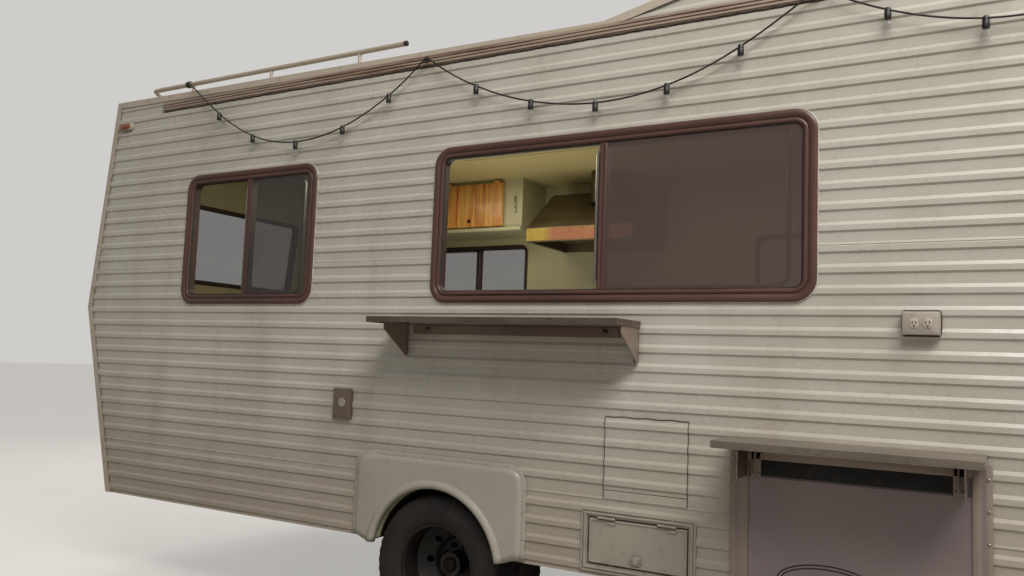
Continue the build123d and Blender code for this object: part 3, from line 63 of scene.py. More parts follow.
hub_recess = 55
dual_pitch = 262
front_wheel_y = 850
arch_radius = 364
arch_z = 374
fender_x = (2305, 3300)
fender_top = 890
fender_foot = 440
cord_y = -1180
siding_sheets = ((460, 478), (784, 845), (1854, 1906))
rib_pitch = 81.6
rib_height = 6
patch_x = (3680, 4052)
patch_z = (790, 1138)
hatch_x = (3580, 4094)
hatch_z = (475, 740)
bay_x = (4232, 5142)
bay_top_z = 1060
bay_slot_x = (4350, 5021)
bay_slot_z = (951, 1013)
socket_x = (4859, 4985)
socket_z = (1509, 1595)
inlet_x = (2146, 2259)
inlet_z = (1033, 1187)
awning_x = (599, 5990)
awning_z = (2845, 2897)
rail_end = (2460, -1100, 3012)
cupboard_y = 739
ceiling_z = 2700
grille_x = 7975
headlamp_y = 610
headlamp_z = 925
mirror_rear_x = 6800
mirror_y = (1245, 1445)
mirror_z = (1370, 1760)

# Places and sizes of edges and details
hatch_border = 30
hatch_latch = ((3812, 3860), (526, 550))
hatch_lever = ((3822, 3850), (532, 545))
window_latch_base = ((1866, 1892), (1985, 2040))
window_lever = ((1872, 1886), (2004, 2030))
rib_rise = 4
rib_flat = 24
rib_foot = 38
patch_lap_shadow_z = 826
bay_rivets_z = range(571, 1012, 110)
bay_screws_z = (962, 1024)
bay_oval = (4597, 567)
bay_oval_half = (182, 72)
bay_bracket_z = (946, 1042)
outlet_faces_x = (4900, 4945)
outlet_face_z = (1533, 1571)
outlet_slot_z = (1550, 1560)
outlet_pin_z = (1538, 1544)
inlet_cap = (2206, 1116)
cleat_bolts = ((2732, 1500), (3676, 1500))
cleat_depth = 20
cupboard_door_x = (1438, 1988)
cupboard_door_z = (2349, 2672)
cupboard_hinges_x = (1498, 1928)
cupboard_hinges_z = (2664, 2690)
cupboard_knob = (1705, 2392)
cupboard_rail = ((1302, 2133), (2315, 2340))
handle_x = 2082
handle_bends = ((757, 2450), (738, 2450), (738, 2560), (757, 2560))
ceiling_seam = ((1995, 5880), (156, 161))
hood_front = ((2312, 3096), (516.5, 520.5), (2192, 2278))
marker_lamps = ((258, 2782), (7180, 2290))
skirt_screw_pitch = 118
skirt_screws_z = (560, 680, 780)
lug_circle = 84
lug_count = 8
shade_liner_radius = 370
shade_liner_inner_y = 760
shade_liner_angles = (12, 168)
shade_liner_steps = 42
outwards = (0, -1, 0)

# The photograph's viewpoint: place in millimetres, axes, and lens in pixels
camera_place = (5208.3, -4609.2, 1355.8)
camera_right = (0.86443, 0.50133, 0.03784)
camera_up = (0.01052, -0.09329, 0.99558)
focal_length = 860
picture_width = 1024
sensor_width = 36


def at(x, y, z):
    """A point given by station, Y and height in millimetres, in the frame's metres."""
    return Vector(((x - origin_x) / 1000, y / 1000, z / 1000))


def tone(red, green, blue):
    """A colour picked as screen values, as the linear numbers that a shader takes."""
    linear = []
    for value in (red, green, blue):
        share = value / 255
        linear.append(share / 12.92 if value < 10 else ((share + 0.055) / 1.055) ** 2.4)
    return tuple(linear)


def shrunk(span, by):
    """A low and a high value, both moved inwards."""
    return span[0] + by, span[1] - by


# Materials

class Recipe:
    """A node material with a Principled shader, and short calls for the nodes that feed it."""

    def __init__(self, name, colour, rough, metal=0.0, **sockets):
        self.material = bpy.data.materials.new(name)
        self.material.use_nodes = True
        self.tree = self.material.node_tree
        self.shader = self.tree.nodes["Principled BSDF"]
        self.colour = self.node("ShaderNodeRGB").outputs[0]
        self.colour.default_value = (*colour, 1)
        self.rough = rough
        self.height = None
        self.shader.inputs["Roughness"].default_value = rough
        self.shader.inputs["Metallic"].default_value = metal
        for key, value in sockets.items():
            self.shader.inputs[key.replace("_", " ")].default_value = value
        self.place = self.node("ShaderNodeTexCoord").outputs["Object"]

    def node(self, kind, **settings):
        made = self.tree.nodes.new(kind)
        for key, value in settings.items():
            setattr(made, key, value)
        return made

    def link(self, source, target):
        self.tree.links.new(source, target)

    def stretched(self, stretch):
        mapping = self.node("ShaderNodeMapping")
        self.link(self.place, mapping.inputs["Vector"])
        mapping.inputs["Scale"].default_value = stretch
        return mapping.outputs["Vector"]

    def noise(self, scale, detail=4.0, stretch=(1, 1, 1), low=0.3, high=0.7):
        """Noise spread over 0 to 1, from its values low to high."""
        made = self.node("ShaderNodeTexNoise")
        made.inputs["Scale"].default_value = scale
        made.inputs["Detail"].default_value = detail
        self.link(self.stretched(stretch), made.inputs["Vector"])
        return self.ranged(made.outputs["Fac"], low, high)

    def ranged(self, source, low, high, out_low=0.0, out_high=1.0):
        made = self.node("ShaderNodeMapRange")
        ends = (("From Min", low), ("From Max", high), ("To Min", out_low), ("To Max", out_high))
        for key, value in ends:
            made.inputs[key].default_value = value
        self.link(source, made.inputs["Value"])
        return made.outputs["Result"]

    def waves(self, direction, scale):
        made = self.node("ShaderNodeTexWave", wave_type="BANDS", bands_direction=direction)
        made.inputs["Scale"].default_value = scale
        self.link(self.place, made.inputs["Vector"])
        return made.outputs["Fac"]

    def product(self, first, second):
        """Two values multiplied, each a number or a node's value."""
        made = self.node("ShaderNodeMath", operation="MULTIPLY")
        for socket, value in zip(made.inputs, (first, second)):
            if isinstance(value, (int, float)):
                socket.default_value = value
            else:
                self.link(value, socket)
        return made.outputs[0]

    def along(self, axis):
        """The place along one axis of the object."""
        split = self.node("ShaderNodeSeparateXYZ")
        self.link(self.place, split.inputs[0])
        return split.outputs[axis]

    def height_band(self, low, high):
        """0 at the first height and 1 at the second, in metres."""
        return self.ranged(self.along("Z"), low, high)

    def span(self, axis, low, high, soft=0.003):
        """1 within a span of one axis of the object and 0 outside it, in metres."""
        place = self.along(axis)
        rise = self.ranged(place, low - soft, low)
        fall = self.ranged(place, high, high + soft, 1.0, 0.0)
        return self.product(rise, fall)

    def tint(self, colour, share, strength=None):
        """Mix a colour over what is there, by a share and a strength, each a number or a node's value."""
        if strength is not None:
            share = self.product(share, strength)
        mix = self.node("ShaderNodeMix", data_type="RGBA")
        if isinstance(share, (int, float)):
            mix.inputs["Factor"].default_value = share
        else:
            self.link(share, mix.inputs["Factor"])
        self.link(self.colour, mix.inputs["A"])
        mix.inputs["B"].default_value = (*colour, 1)
        self.colour = mix.outputs["Result"]
        return self

    def shade_and_grime(self, colour, share, reach=0.03):
        """Painted shade with grime: a dark tint where the ambient occlusion finds corners and under edges,
        broken up by noise.
        """
        shade = self.node("ShaderNodeAmbientOcclusion", samples=6)
        shade.inputs["Distance"].default_value = reach
        dirt_and_shade = self.ranged(shade.outputs["AO"], 0.35, 0.95, share, 0.0)
        return self.tint(colour, dirt_and_shade, self.noise(9, low=0.2, high=0.6))

    def uneven(self, spread, scale=5.0, stretch=(1, 1, 1)):
        """Roughness that varies by a spread each way."""
        grain = self.noise(scale, stretch=stretch)
        varied = self.ranged(grain, 0, 1, self.rough - spread, self.rough + spread)
        self.link(varied, self.shader.inputs["Roughness"])
        return self

    def bump(self, source, distance):
        made = self.node("ShaderNodeBump")
        made.inputs["Distance"].default_value = distance
        self.link(source, made.inputs["Height"])
        if self.height is not None:
            self.link(self.height, made.inputs["Normal"])
        self.height = made.outputs["Normal"]
        return self

    def done(self):
        self.link(self.colour, self.shader.inputs["Base Color"])
        if self.height is not None:
            self.link(self.height, self.shader.inputs["Normal"])
        return self.material


dust = tone(104, 84, 66)
# A dark for soot specks, and for the painted shade in corners and under edges
soot_and_shade = tone(42, 33, 28)
rust = tone(116, 66, 40)


def painted(name, colour, rough=0.42, dirt_and_shade=0.35, waves=0.0, second=None):
    """Old paint: two close tones, dust in patches, painted shade with grime in corners, fine grain, and
    shallow waves in the sheet.
    """
    made = Recipe(name, colour, rough)
    made.tint(second or tuple(0.86 * c for c in colour), made.noise(1.7, 5))
    made.tint(dust, made.noise(24, 8, low=0.58, high=0.78), dirt_and_shade)
    made.shade_and_grime(soot_and_shade, min(1.0, 2 * dirt_and_shade))
    made.uneven(0.08)
    if waves:
        made.bump(made.noise(3.2, 2, (1, 1, 0.6), 0.2, 0.8), waves)
    made.bump(made.noise(420, 2, low=0, high=1), 0.00012)
    return made


siding_paint = painted("siding_paint", tone(192, 188, 177), 0.30, 0.14, 0.0035, tone(180, 175, 162))
streaks = siding_paint.noise(5, 6, (1, 1, 0.12), 0.5, 0.8)
siding_paint.tint(tone(150, 138, 122), streaks, 0.3)
# The siding is darker and browner towards the bottom
low_darkening = siding_paint.height_band(1.25, 0.45)
siding_paint.tint(tone(136, 119, 102), low_darkening, 0.62)
siding_paint = siding_paint.done()

panel_paint = painted("panel_paint", tone(186, 180, 164), 0.40, 0.30, 0.002).done()
fender_paint = painted("fender_paint", tone(170, 165, 152), 0.30, 0.16, 0.0012).done()
hatch_paint = painted("hatch_paint", tone(162, 156, 142), 0.42, 0.40, 0.0015, tone(146, 140, 126)).done()
bay_paint = painted("bay_paint", tone(140, 128, 127), 0.42, 0.10, 0.001, tone(126, 113, 114)).done()
inner_paint = painted("inner_paint", tone(184, 180, 148), 0.38, 0.03).done()
roof_paint = painted("roof_paint", tone(196, 190, 176), 0.62, 0.75, 0.003, tone(172, 162, 146))
ceiling = roof_paint.span("Z", ceiling_z / 1000 - 0.02, ceiling_z / 1000 + 0.005)
indoors = roof_paint.span("Y", -inner_y / 1000, inner_y / 1000)
roof_paint.tint(tone(186, 174, 126), ceiling, indoors)
roof_paint = roof_paint.done()
cab_paint = painted("cab_paint", tone(190, 184, 168), 0.28, 0.14).done()
rail_paint = painted("rail_paint", tone(190, 178, 164), 0.45, 0.40, 0, tone(164, 148, 130)).done()
chassis_paint = painted("chassis_paint", tone(38, 34, 32), 0.6, 0.8, 0.0, rust).done()
black_paint = painted("black_paint", tone(34, 30, 28), 0.5, 0.4).done()
bracket_paint = painted("bracket_paint", tone(132, 116, 104), 0.45, 0.45, 0, tone(104, 86, 76)).done()
frame_brown = painted("frame_brown", tone(92, 62, 54), 0.38, 0.30, 0, tone(74, 50, 44)).done()
liner_brown = painted("liner_brown", tone(58, 40, 36), 0.5, 0.25, 0, tone(44, 31, 28)).done()
fitting_plastic = painted("fitting_plastic", tone(176, 168, 156), 0.35, 0.30, 0, tone(156, 146, 133)).done()
inlet_grey = painted("inlet_grey", tone(118, 102, 92), 0.5, 0.35, 0, tone(104, 90, 82)).done()
bay_trim = painted("bay_trim", tone(152, 138, 127), 0.45, 0.08, 0, tone(132, 117, 106)).done()
black_and_shade = painted("black_and_shade", tone(16, 13, 13), 0.7, 0.15).done()
sealant_and_shadow = painted("sealant_and_shadow", tone(84, 72, 60), 0.75, 0.6, 0, tone(52, 42, 36)).done()


def metal(name, colour, rough, brush=(1, 1, 1), dirt_and_shade=0.3, second=None):
    """Bare metal with brushing along one direction, stains, and painted shade with soot in its corners."""
    made = Recipe(name, colour, rough, 1.0)
    made.tint(second or tuple(0.72 * c for c in colour), made.noise(3, 6))
    made.tint(soot_and_shade, made.noise(30, 8, low=0.55, high=0.8), dirt_and_shade)
    made.shade_and_grime(soot_and_shade, min(1.0, 1.6 * dirt_and_shade))
    made.uneven(0.10, 12, brush)
    made.bump(made.noise(260, 3, brush, 0, 1), 0.0001)
    return made.done()


counter_metal = metal("counter_metal", tone(150, 138, 128), 0.42, (0.02, 1, 1), 0.45, tone(112, 94, 84))
counter_top_metal = metal("counter_top_metal", tone(178, 166, 154), 0.34, (0.02, 1, 1), 0.3)
trim_paint = painted("trim_paint", tone(190, 180, 164), 0.42, 0.45, 0, tone(174, 160, 142))
awning_band = trim_paint.span("Z", awning_z[0] / 1000, awning_z[1] / 1000)
awning_run = trim_paint.span("X", at(awning_x[0], 0, 0).x, at(awning_x[1], 0, 0).x)
awning_mask = trim_paint.product(awning_band, awning_run)
trim_paint.tint(tone(158, 140, 124), awning_mask)
stain = trim_paint.noise(9, 6, (0.25, 1, 5), 0.48, 0.66)
stained = trim_paint.product(awning_mask, stain)
trim_paint.tint(tone(108, 74, 56), stained, 0.8)
trim_paint = trim_paint.done()
sash_metal = metal("sash_metal", tone(188, 182, 172), 0.32, (1, 1, 0.05), 0.2)
bright_metal = metal("bright_metal", tone(210, 206, 200), 0.18, (1, 1, 1), 0.15)
stainless = metal("stainless", tone(178, 174, 166), 0.32, (0.03, 1, 1), 0.15)
hood_metal = metal("hood_metal", tone(142, 132, 112), 0.42, (0.05, 1, 1), 0.35, tone(104, 94, 76))
iron = metal("iron", tone(58, 50, 46), 0.5, (1, 1, 1), 0.6, tone(52, 38, 30))
exhaust_metal = metal("exhaust_metal", tone(120, 102, 88), 0.55, (1, 1, 1), 0.7, rust)
spun_metal = metal("spun_metal", tone(186, 182, 174), 0.4, (1, 1, 0.1), 0.35)
screw_metal = metal("screw_metal", tone(120, 104, 90), 0.4, (1, 1, 1), 0.5, tone(92, 74, 60))

hood_band = Recipe("hood_band", tone(176, 152, 78), 0.32, 0.35)
hood_band.tint(tone(158, 104, 84), hood_band.span("X", at(2520, 0, 0).x, at(3100, 0, 0).x, 0.08))
hood_band.tint(tone(150, 128, 70), hood_band.noise(14, 5, low=0.45, high=0.75), 0.5)
hood_band = hood_band.uneven(0.08, 20).done()

rubber = Recipe("rubber", tone(25, 21, 20), 0.72)
rubber.tint(tone(44, 37, 33), rubber.noise(6, 8, low=0.45, high=0.75)).uneven(0.1, 20)
rubber.bump(rubber.noise(240, 3, low=0, high=1), 0.0002)
rubber = rubber.done()

gasket = Recipe("gasket", tone(26, 22, 21), 0.55)
gasket.tint(tone(60, 50, 44), gasket.noise(18, 6, low=0.5, high=0.8))
gasket.bump(gasket.noise(300, 2, low=0, high=1), 0.0001)
gasket = gasket.done()

black_plastic = Recipe("black_plastic", tone(26, 24, 24), 0.42)
black_plastic.tint(tone(52, 46, 42), black_plastic.noise(40, 6, low=0.55, high=0.8))
black_plastic.uneven(0.1, 30).bump(black_plastic.noise(500, 2, low=0, high=1), 0.0001)
black_plastic = black_plastic.done()

dash_plastic = Recipe("dash_plastic", tone(54, 44, 36), 0.6)
dash_plastic.tint(tone(40, 33, 28), dash_plastic.noise(3, 4))
dash_plastic.bump(dash_plastic.noise(700, 3, low=0, high=1), 0.0003)
dash_plastic = dash_plastic.done()

fabric = Recipe("seat_fabric", tone(104, 82, 60), 0.9)
weave = fabric.waves("DIAGONAL", 180)
fabric.tint(tone(72, 55, 40), weave, 0.6)
fabric.tint(tone(126, 104, 80), fabric.noise(300, 2, low=0.5, high=0.8))
fabric.bump(weave, 0.0006)
fabric = fabric.done()

wood = Recipe("varnished_wood", tone(204, 156, 84), 0.34, Coat_Weight=0.25)
rings = wood.node("ShaderNodeTexNoise")
rings.inputs["Scale"].default_value = 9
rings.inputs["Detail"].default_value = 8
rings.inputs["Distortion"].default_value = 0.8
wood.link(wood.stretched((3.2, 1, 0.22)), rings.inputs["Vector"])
wood.tint(tone(176, 88, 38), wood.ranged(rings.outputs["Fac"], 0.46, 0.66))
wood.tint(tone(92, 44, 20), wood.noise(60, 6, (1, 1, 0.03), 0.52, 0.8), 0.7)
wood.bump(wood.noise(120, 4, (1, 1, 0.04), 0, 1), 0.0003)
wood = wood.done()


def glass(name, colour, alpha, rough=0.03):
    """A thin pane: tinted, partly clear, with a hard reflection and faint smears."""
    made = Recipe(name, colour, rough, 0.0, Alpha=alpha, Coat_Weight=1.0, Coat_Roughness=0.02)
    made.tint(tuple(1.4 * c + 0.01 for c in colour), made.noise(2.4, 6, (1, 1, 2), 0.4, 0.75))
    return made.uneven(0.02, 6)


# The serving window's pane ahead of its mullion is darker than the rest: a painted reflection, browner and
# less see-through
pane_alpha = 0.48
reflection_alpha = 0.72
house_pane = glass("tinted_pane", tone(52, 43, 40), pane_alpha)
serving_mullion = curb_windows[1][4]
serving_end = curb_windows[1][1]
curb_half = house_pane.span("Y", -1.3, 0)
ahead = house_pane.span("X", at(serving_mullion, 0, 0).x, at(serving_end, 0, 0).x)
pane_reflection = house_pane.product(curb_half, ahead)
house_pane.tint(tone(84, 66, 62), pane_reflection)
house_pane.link(house_pane.ranged(pane_reflection, 0, 1, pane_alpha, reflection_alpha), house_pane.shader.inputs["Alpha"])
house_pane = house_pane.done()
cab_pane = glass("cab_pane", tone(96, 104, 98), 0.38).done()
bulb_glass = glass("bulb_glass", tone(200, 196, 186), 0.13).done()
mirror_face = metal("mirror_face", tone(226, 228, 230), 0.03, (1, 1, 1), 0.03)
chrome = metal("chrome", tone(200, 196, 190), 0.14, (1, 1, 1), 0.25)


def lens(name, colour):
    """A coloured lamp cover with upright flutes."""
    made = Recipe(name, colour, 0.18, 0.0, Coat_Weight=1.0)
    made.tint(tuple(0.5 * c for c in colour), made.noise(90, 2, (1, 1, 1), 0.4, 0.7))
    return made.bump(made.waves("Y", 60), 0.0006)


amber_lens = lens("amber_lens", tone(158, 80, 40)).done()
# Lamps are amber up high, red low at the rear and clear low at the front
lamp_lens = lens("lamp_lens", tone(176, 86, 36))
low_lamps = lamp_lens.span("Z", 0, 1.5)
lamp_lens.tint(tone(150, 28, 22), low_lamps, lamp_lens.span("X", -5, 0))
lamp_lens.tint(tone(206, 208, 202), low_lamps, lamp_lens.span("X", 0, 5))
lamp_lens = lamp_lens.done()


# Mesh helpers

def placed(name, data):
    """A new object of the scene, made from its data."""
    made = bpy.data.objects.new(name, data)
    bpy.context.scene.collection.objects.link(made)
    return made


def piece(name, points, faces, material, slot, body="root", bevel=0.0):
    """A mesh piece in the frame's metres that rides on a body."""
    mesh = bpy.data.meshes.new(name)
    mesh.from_pydata([tuple(p) for p in points], [], faces)
    mesh.validate()
    made = placed(name, mesh)
    mesh.materials.append(material)
    mesh.shade_smooth()
    mesh.set_sharp_from_angle(angle=math.radians(38))
    if bevel:
        rounded = made.modifiers.new("edges", "BEVEL")
        rounded.width = bevel
        rounded.segments = 2
        rounded.limit_method = "ANGLE"
        rounded.harden_normals = True
    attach(made, body)
    return made


def joined(parts):
    """One list of points and one of faces from several such pairs."""
    points, faces = [], []
    for more_points, more_faces in parts:
        start = len(points)
        points += more_points
        faces += [tuple(i + start for i in face) for face in more_faces]
    return points, faces


def group(name, parts, material, slot, body="root"):
    """One piece made of several pairs of points and faces."""
    return piece(name, *joined(parts), material, slot, body)


def box(x, y, z):
    """A box between low and high stations, Ys and heights in millimetres."""
    corners = [at(x[i], y[j], z[k]) for i in (0, 1) for j in (0, 1) for k in (0, 1)]
    return corners, [(0, 1, 3, 2), (4, 6, 7, 5), (0, 4, 5, 1), (2, 3, 7, 6), (0, 2, 6, 4), (1, 5, 7, 3)]


def quads(rows, count, closed=False, ring=True):
    """Faces between neighbouring rows of points. Closed joins the last row to the first."""
    faces = []
    for row in range(rows if closed else rows - 1):
        low = row * count
        high = (row + 1) % rows * count
        for step in range(count if ring else count - 1):
            nxt = (step + 1) % count
            faces.append((low + step, low + nxt, high + nxt, high + step))
    return faces


def lathe(profile, centre, axis, turns=24):
    """A closed surface of revolution: profile is (radius, distance along the axis) in millimetres."""
    axis = Vector(axis).normalized()
    side = axis.orthogonal().normalized()
    other = axis.cross(side)
    points = []
    for radius, distance in profile:
        for turn in range(turns):
            angle = 2 * math.pi * turn / turns
            reach = side * math.cos(angle) + other * math.sin(angle)
            points.append(centre + (axis * distance + reach * radius) / 1000)
    return points, quads(len(profile), turns)


def studs(places, axis, radius, height, turns=12):
    """Low domes, such as screw or rivet heads, at points in the frame's metres."""
    dome = [(radius, 0), (radius, 0.25 * height), (0.8 * radius, 0.75 * height), (0.45 * radius, height),
            (0.01, height)]
    return joined([lathe(dome, place, axis, turns) for place in places])


def rounded_loop(u, v, corner, steps=8):
    """Points of a rectangle with rounded corners, from low to high on each axis, anticlockwise."""
    corner = max(corner, 1.5)
    loop = []
    for quarter, (cu, cv) in enumerate(((u[1] - corner, v[1] - corner), (u[0] + corner, v[1] - corner),
                                        (u[0] + corner, v[0] + corner), (u[1] - corner, v[0] + corner))):
        for step in range(steps + 1):
            angle = math.pi / 2 * (quarter + step / steps)
            loop.append((cu + corner * math.cos(angle), cv + corner * math.sin(angle)))
    return loop


def moulding(u, v, corner, profile, place, closed=True, steps=8):
    """A rounded rectangular moulding. profile is (inset from the outer edge, how far it stands out)."""
    points = []
    for inset, out in profile:
        inner = rounded_loop(shrunk(u, inset), shrunk(v, inset), corner - inset, steps)
        points += [place(a, b, out) for a, b in inner]
    return points, quads(len(profile), 4 * (steps + 1), closed)


def capped(u, v, corner, profile, place, steps=8):
    """A moulding whose last loop is filled, as a rounded plate."""
    points, faces = moulding(u, v, corner, profile, place, False, steps)
    count = 4 * (steps + 1)
    last = (len(profile) - 1) * count
    faces.append(tuple(range(last, last + count)))
    return points, faces


def on_curb(u, v, out):
    """A place on the curb side, by station, height and how far it stands out of the flat siding."""
    return at(u, -half_width - out, v)


def on_street(u, v, out):
    """The same on the street side."""
    return at(u, half_width + out, v)


def line(name, points, radius, material, body="root", smooth=False):
    """A thin bead or rod along points in the frame's metres."""
    curve = bpy.data.curves.new(name, "CURVE")
    curve.dimensions = "3D"
    curve.bevel_depth = 1.0
    curve.bevel_resolution = 2
    curve.use_fill_caps = True
    spline = curve.splines.new("NURBS" if smooth else "POLY")
    spline.points.add(len(points) - 1)
    for target, point in zip(spline.points, points):
        target.co = (*point, 1)
        target.radius = radius / 1000
    if smooth:
        spline.order_u = 3
        spline.use_endpoint_u = True
    made = placed(name, curve)
    curve.materials.append(material)
    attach(made, body)
    return made


# Camera at the photograph's viewing angle

camera_data = bpy.data.cameras.new("camera")
camera_data.sensor_width = sensor_width
camera_data.lens = sensor_width * focal_length / picture_width
camera = placed("camera", camera_data)
right = Vector(camera_right)
up = Vector(camera_up)
back = right.cross(up).normalized()
camera.matrix_world = Matrix((right, up, back)).transposed().to_4x4()
camera.location = at(*camera_place)
camera_data.clip_start = 0.05
camera_data.clip_end = 200
bpy.context.scene.camera = camera
bpy.context.scene.view_settings.view_transform = "Standard"

# Festoon cord and its lamps

cord_rise = [(776, -1122, 3008), (808, -1144, 3003), (846, -1168, 2990)]
cord_drape = [
    (896, 2956), (956, 2906), (1026, 2849), (1108, 2788), (1192, 2727), (1286, 2670), (1384, 2620),
    (1485, 2579), (1589, 2550), (1695, 2532), (1803, 2527), (1911, 2534), (2017, 2551), (2122, 2578),
    (2223, 2614), (2322, 2659), (2417, 2710), (2508, 2767), (2578, 2822), (2632, 2868), (2672, 2868),
    (2722, 2828), (2808, 2772), (2897, 2721), (2993, 2675), (3091, 2633), (3192, 2598), (3295, 2570),
    (3400, 2548), (3506, 2534), (3612, 2528), (3719, 2531), (3825, 2543), (3930, 2564), (4033, 2593),
    (4133, 2631), (4229, 2676), (4323, 2727), (4414, 2783), (4488, 2831), (4540, 2868), (4580, 2868),
    (4632, 2832), (4712, 2789), (4803, 2747), (4900, 2710), (5000, 2680), (5102, 2659), (5206, 2648),
    (5310, 2647), (5414, 2658), (5516, 2681), (5614, 2715), (5709, 2758), (5790, 2803), (5850, 2842),
    (5890, 2862), (5925, 2862)
]
lamp_stations = (1146, 1439, 1778, 2114, 2420, 2959, 3268, 3600, 3935, 4252, 4811, 5137, 5470, 5750)
cord_points = [at(*point) for point in cord_rise] + [at(x, cord_y, z) for x, z in cord_drape]
cord = line("festoon_cable", cord_points, 4, gasket, smooth=True)
cord.data.splines[0].resolution_u = 6
cord.data.bevel_depth = 0
cord_mesh = bpy.data.meshes.new_from_object(cord)
cord_run = [vertex.co.copy() for vertex in cord_mesh.vertices]
bpy.data.meshes.remove(cord_mesh)
cord.data.bevel_depth = 1.0
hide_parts("festoon_cord")


def cord_place(x):
    """Where the cord's own line passes a station."""
    wanted = at(x, cord_y, 0).x
    for low, high in zip(cord_run, cord_run[1:]):
        if low.x <= wanted <= high.x:
            return low.lerp(high, (wanted - low.x) / max(high.x - low.x, 1e-9))


# Lamp profiles: (radius, distance below the cord)
socket_profile = [(0.01, -7), (9, -7), (11, -5), (12, 0), (12.5, 4), (13, 8), (12.2, 12), (13, 14), (13, 36),
                  (11.5, 40), (9, 40), (9, 30), (0.01, 30)]
bulb_profile = [(7.5, 34), (8, 41), (11, 46), (16, 52), (19, 58), (20, 64), (18.5, 71), (14, 76), (8, 79),
                (0.01, 80)]
filament_profile = [(0.01, 38), (2.5, 38), (2.5, 50), (0.8, 54), (0.8, 66), (0.01, 66)]
down = (0, 0, -1)
lamp_places = [cord_place(x) for x in lamp_stations]
sockets = [lathe(socket_profile, place, down, 20) for place in lamp_places]
bulbs = [lathe(bulb_profile, place, down, 24) for place in lamp_places]
filaments = [lathe(filament_profile, place, down, 8) for place in lamp_places]
socket_piece = group("festoon_sockets", sockets, black_plastic, "festoon")
bulb_piece = group("festoon_bulbs", bulbs, bulb_glass, "festoon")
filament_piece = group("festoon_filaments", filaments, sash_metal, "festoon")
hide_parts("festoon_lamps")
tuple(cord_points[0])

# Windows

frame_profile = [(0, -2), (0, 7), (3, 11), (8, 13.5), (16, 14), (24, 12.5), (30, 9.5), (33, 6.5), (35, 6.5),
                 (37, 9.5), (42, 11.5), (48, 11), (53, 8), (55, 4), (55, -2)]
liner_profile = [(31, -2), (55, -2), (55, -44), (29.2, -44), (29.2, -3.2)]
gasket_profile = [(54, 4), (56, 5), (60, 2), (61, -2), (54, -3)]
sash_profile = [(0, 0), (0, -14), (3, -17), (14, -17), (17, -14), (17, 0), (14, 3), (3, 3)]
putty_profile = [(-5, -2), (-5, 3), (-3, 5.5), (0, 6), (1, 6)]
closed_sash = [(0, -20), (0, -8), (3, -5), (9, -5), (12, -8), (12, -20)]
mullion_profile = [(0, -40), (0, 3), (3, 5), (12, 5), (14, 3), (16, 3)]
mullion_half = 17
sash_depth = 16
end_trim_margin = 40


def set_back(place, depth):
    """The same places, a depth further in."""
    def deeper(u, v, out):
        return place(u, v, out - depth)
    return deeper


def leaning(ends, front):
    """Places on a leaning end wall, by Y, the way up from its lower end, and how far it stands out."""
    low = Vector(ends[0])
    high = Vector(ends[1])
    rise = (high - low).normalized()
    away = Vector((rise.y, -rise.x)) * front

    def place(y, up_wall, out):
        point = low + rise * up_wall + away * (out + 3)
        return at(point.x, y, point.y)
    return place, (high - low).length


trims, liners, gaskets, sashes, mullions, putty = [], [], [], [], [], []
for rows, place in ((curb_windows, on_curb), (street_windows, on_street)):
    for x_low, x_high, z_low, z_high, mullion_x in rows:
        u, v = (x_low, x_high), (z_low, z_high)
        trims.append(moulding(u, v, window_corner, frame_profile, place))
        liners.append(moulding(u, v, window_corner, liner_profile, place))
        gaskets.append(moulding(u, v, window_corner, gasket_profile, place))
        putty.append(moulding(u, v, window_corner, putty_profile, place, False))
        sash_v = shrunk(v, frame_flange + 4)
        if place is on_curb:
            sash_u = (mullion_x - mullion_half - 26, x_high - frame_flange - 52)
            sashes.append(moulding(sash_u, sash_v, 52, sash_profile, set_back(place, sash_depth)))
        else:
            sash_u = (x_low + frame_flange, mullion_x - 15)
            sashes.append(moulding(sash_u, sash_v, 34, closed_sash, place))
        bar_u = (mullion_x - mullion_half, mullion_x + mullion_half)
        mullions.append(capped(bar_u, shrunk(v, 53), 3, mullion_profile, place, 2))
for ends, front in ((rear_window, -1), (nose_window, 1)):
    place, length = leaning(ends, front)
    u = shrunk((-end_window_half, end_window_half), -end_trim_margin)
    v = shrunk((0, length), -end_trim_margin)
    trims.append(moulding(u, v, window_corner, frame_profile, place))
    liners.append(moulding(u, v, window_corner, liner_profile, place))
    gaskets.append(moulding(u, v, window_corner, gasket_profile, place))
frames_piece = group("window_trims", trims, frame_brown, "window_frame")
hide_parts("window_frames")
group("window_putty", putty, siding_paint, "siding")
group("window_liners", liners, liner_brown, "window_frame")
group("window_gaskets", gaskets, gasket, "window_frame")
group("window_sashes", sashes, sash_metal, "window_frame")
group("window_mullions", mullions, frame_brown, "window_frame")

# Running gear

def tyre_mesh():
    """A road tyre round the Y axis at the origin, outer side towards +Y, with a block tread."""
    half = tyre_width / 2
    sidewall = ((198, 36), (203, 30), (212, 14), (230, 5), (252, 0.5), (266, 0.5), (272, 0), (276, 0),
                (281, 1.5), (300, 4), (322, 9), (336, 15), (345, 23), (349, 33))
    tread = ((351.5, 40), (351.5, 58), (343, 60), (343, 66), (352, 68))
    centre = [(352, 22), (344, 20), (344, 12), (352, 10)]
    one_side = [(radius, half - inset) for radius, inset in sidewall + tread] + centre
    rows = one_side + [(radius, -y) for radius, y in reversed(one_side)]
    turns = 144
    points = []
    for row, (radius, y) in enumerate(rows):
        for turn in range(turns):
            angle = 2 * math.pi * turn / turns
            cut = 0.0
            if radius > 343.5 and turn % 3 == (1 if y > 0 else 2):
                cut = 5.0 if abs(y) > 20 else 2.0
            spin = angle + 0.006 * math.copysign(1, y) * min(abs(y), 60) / 20
            reach = (radius - cut) / 1000
            points.append((reach * math.sin(spin), y / 1000, reach * math.cos(spin)))
    return points, [(a, d, c, b) for a, b, c, d in quads(len(rows), turns)]


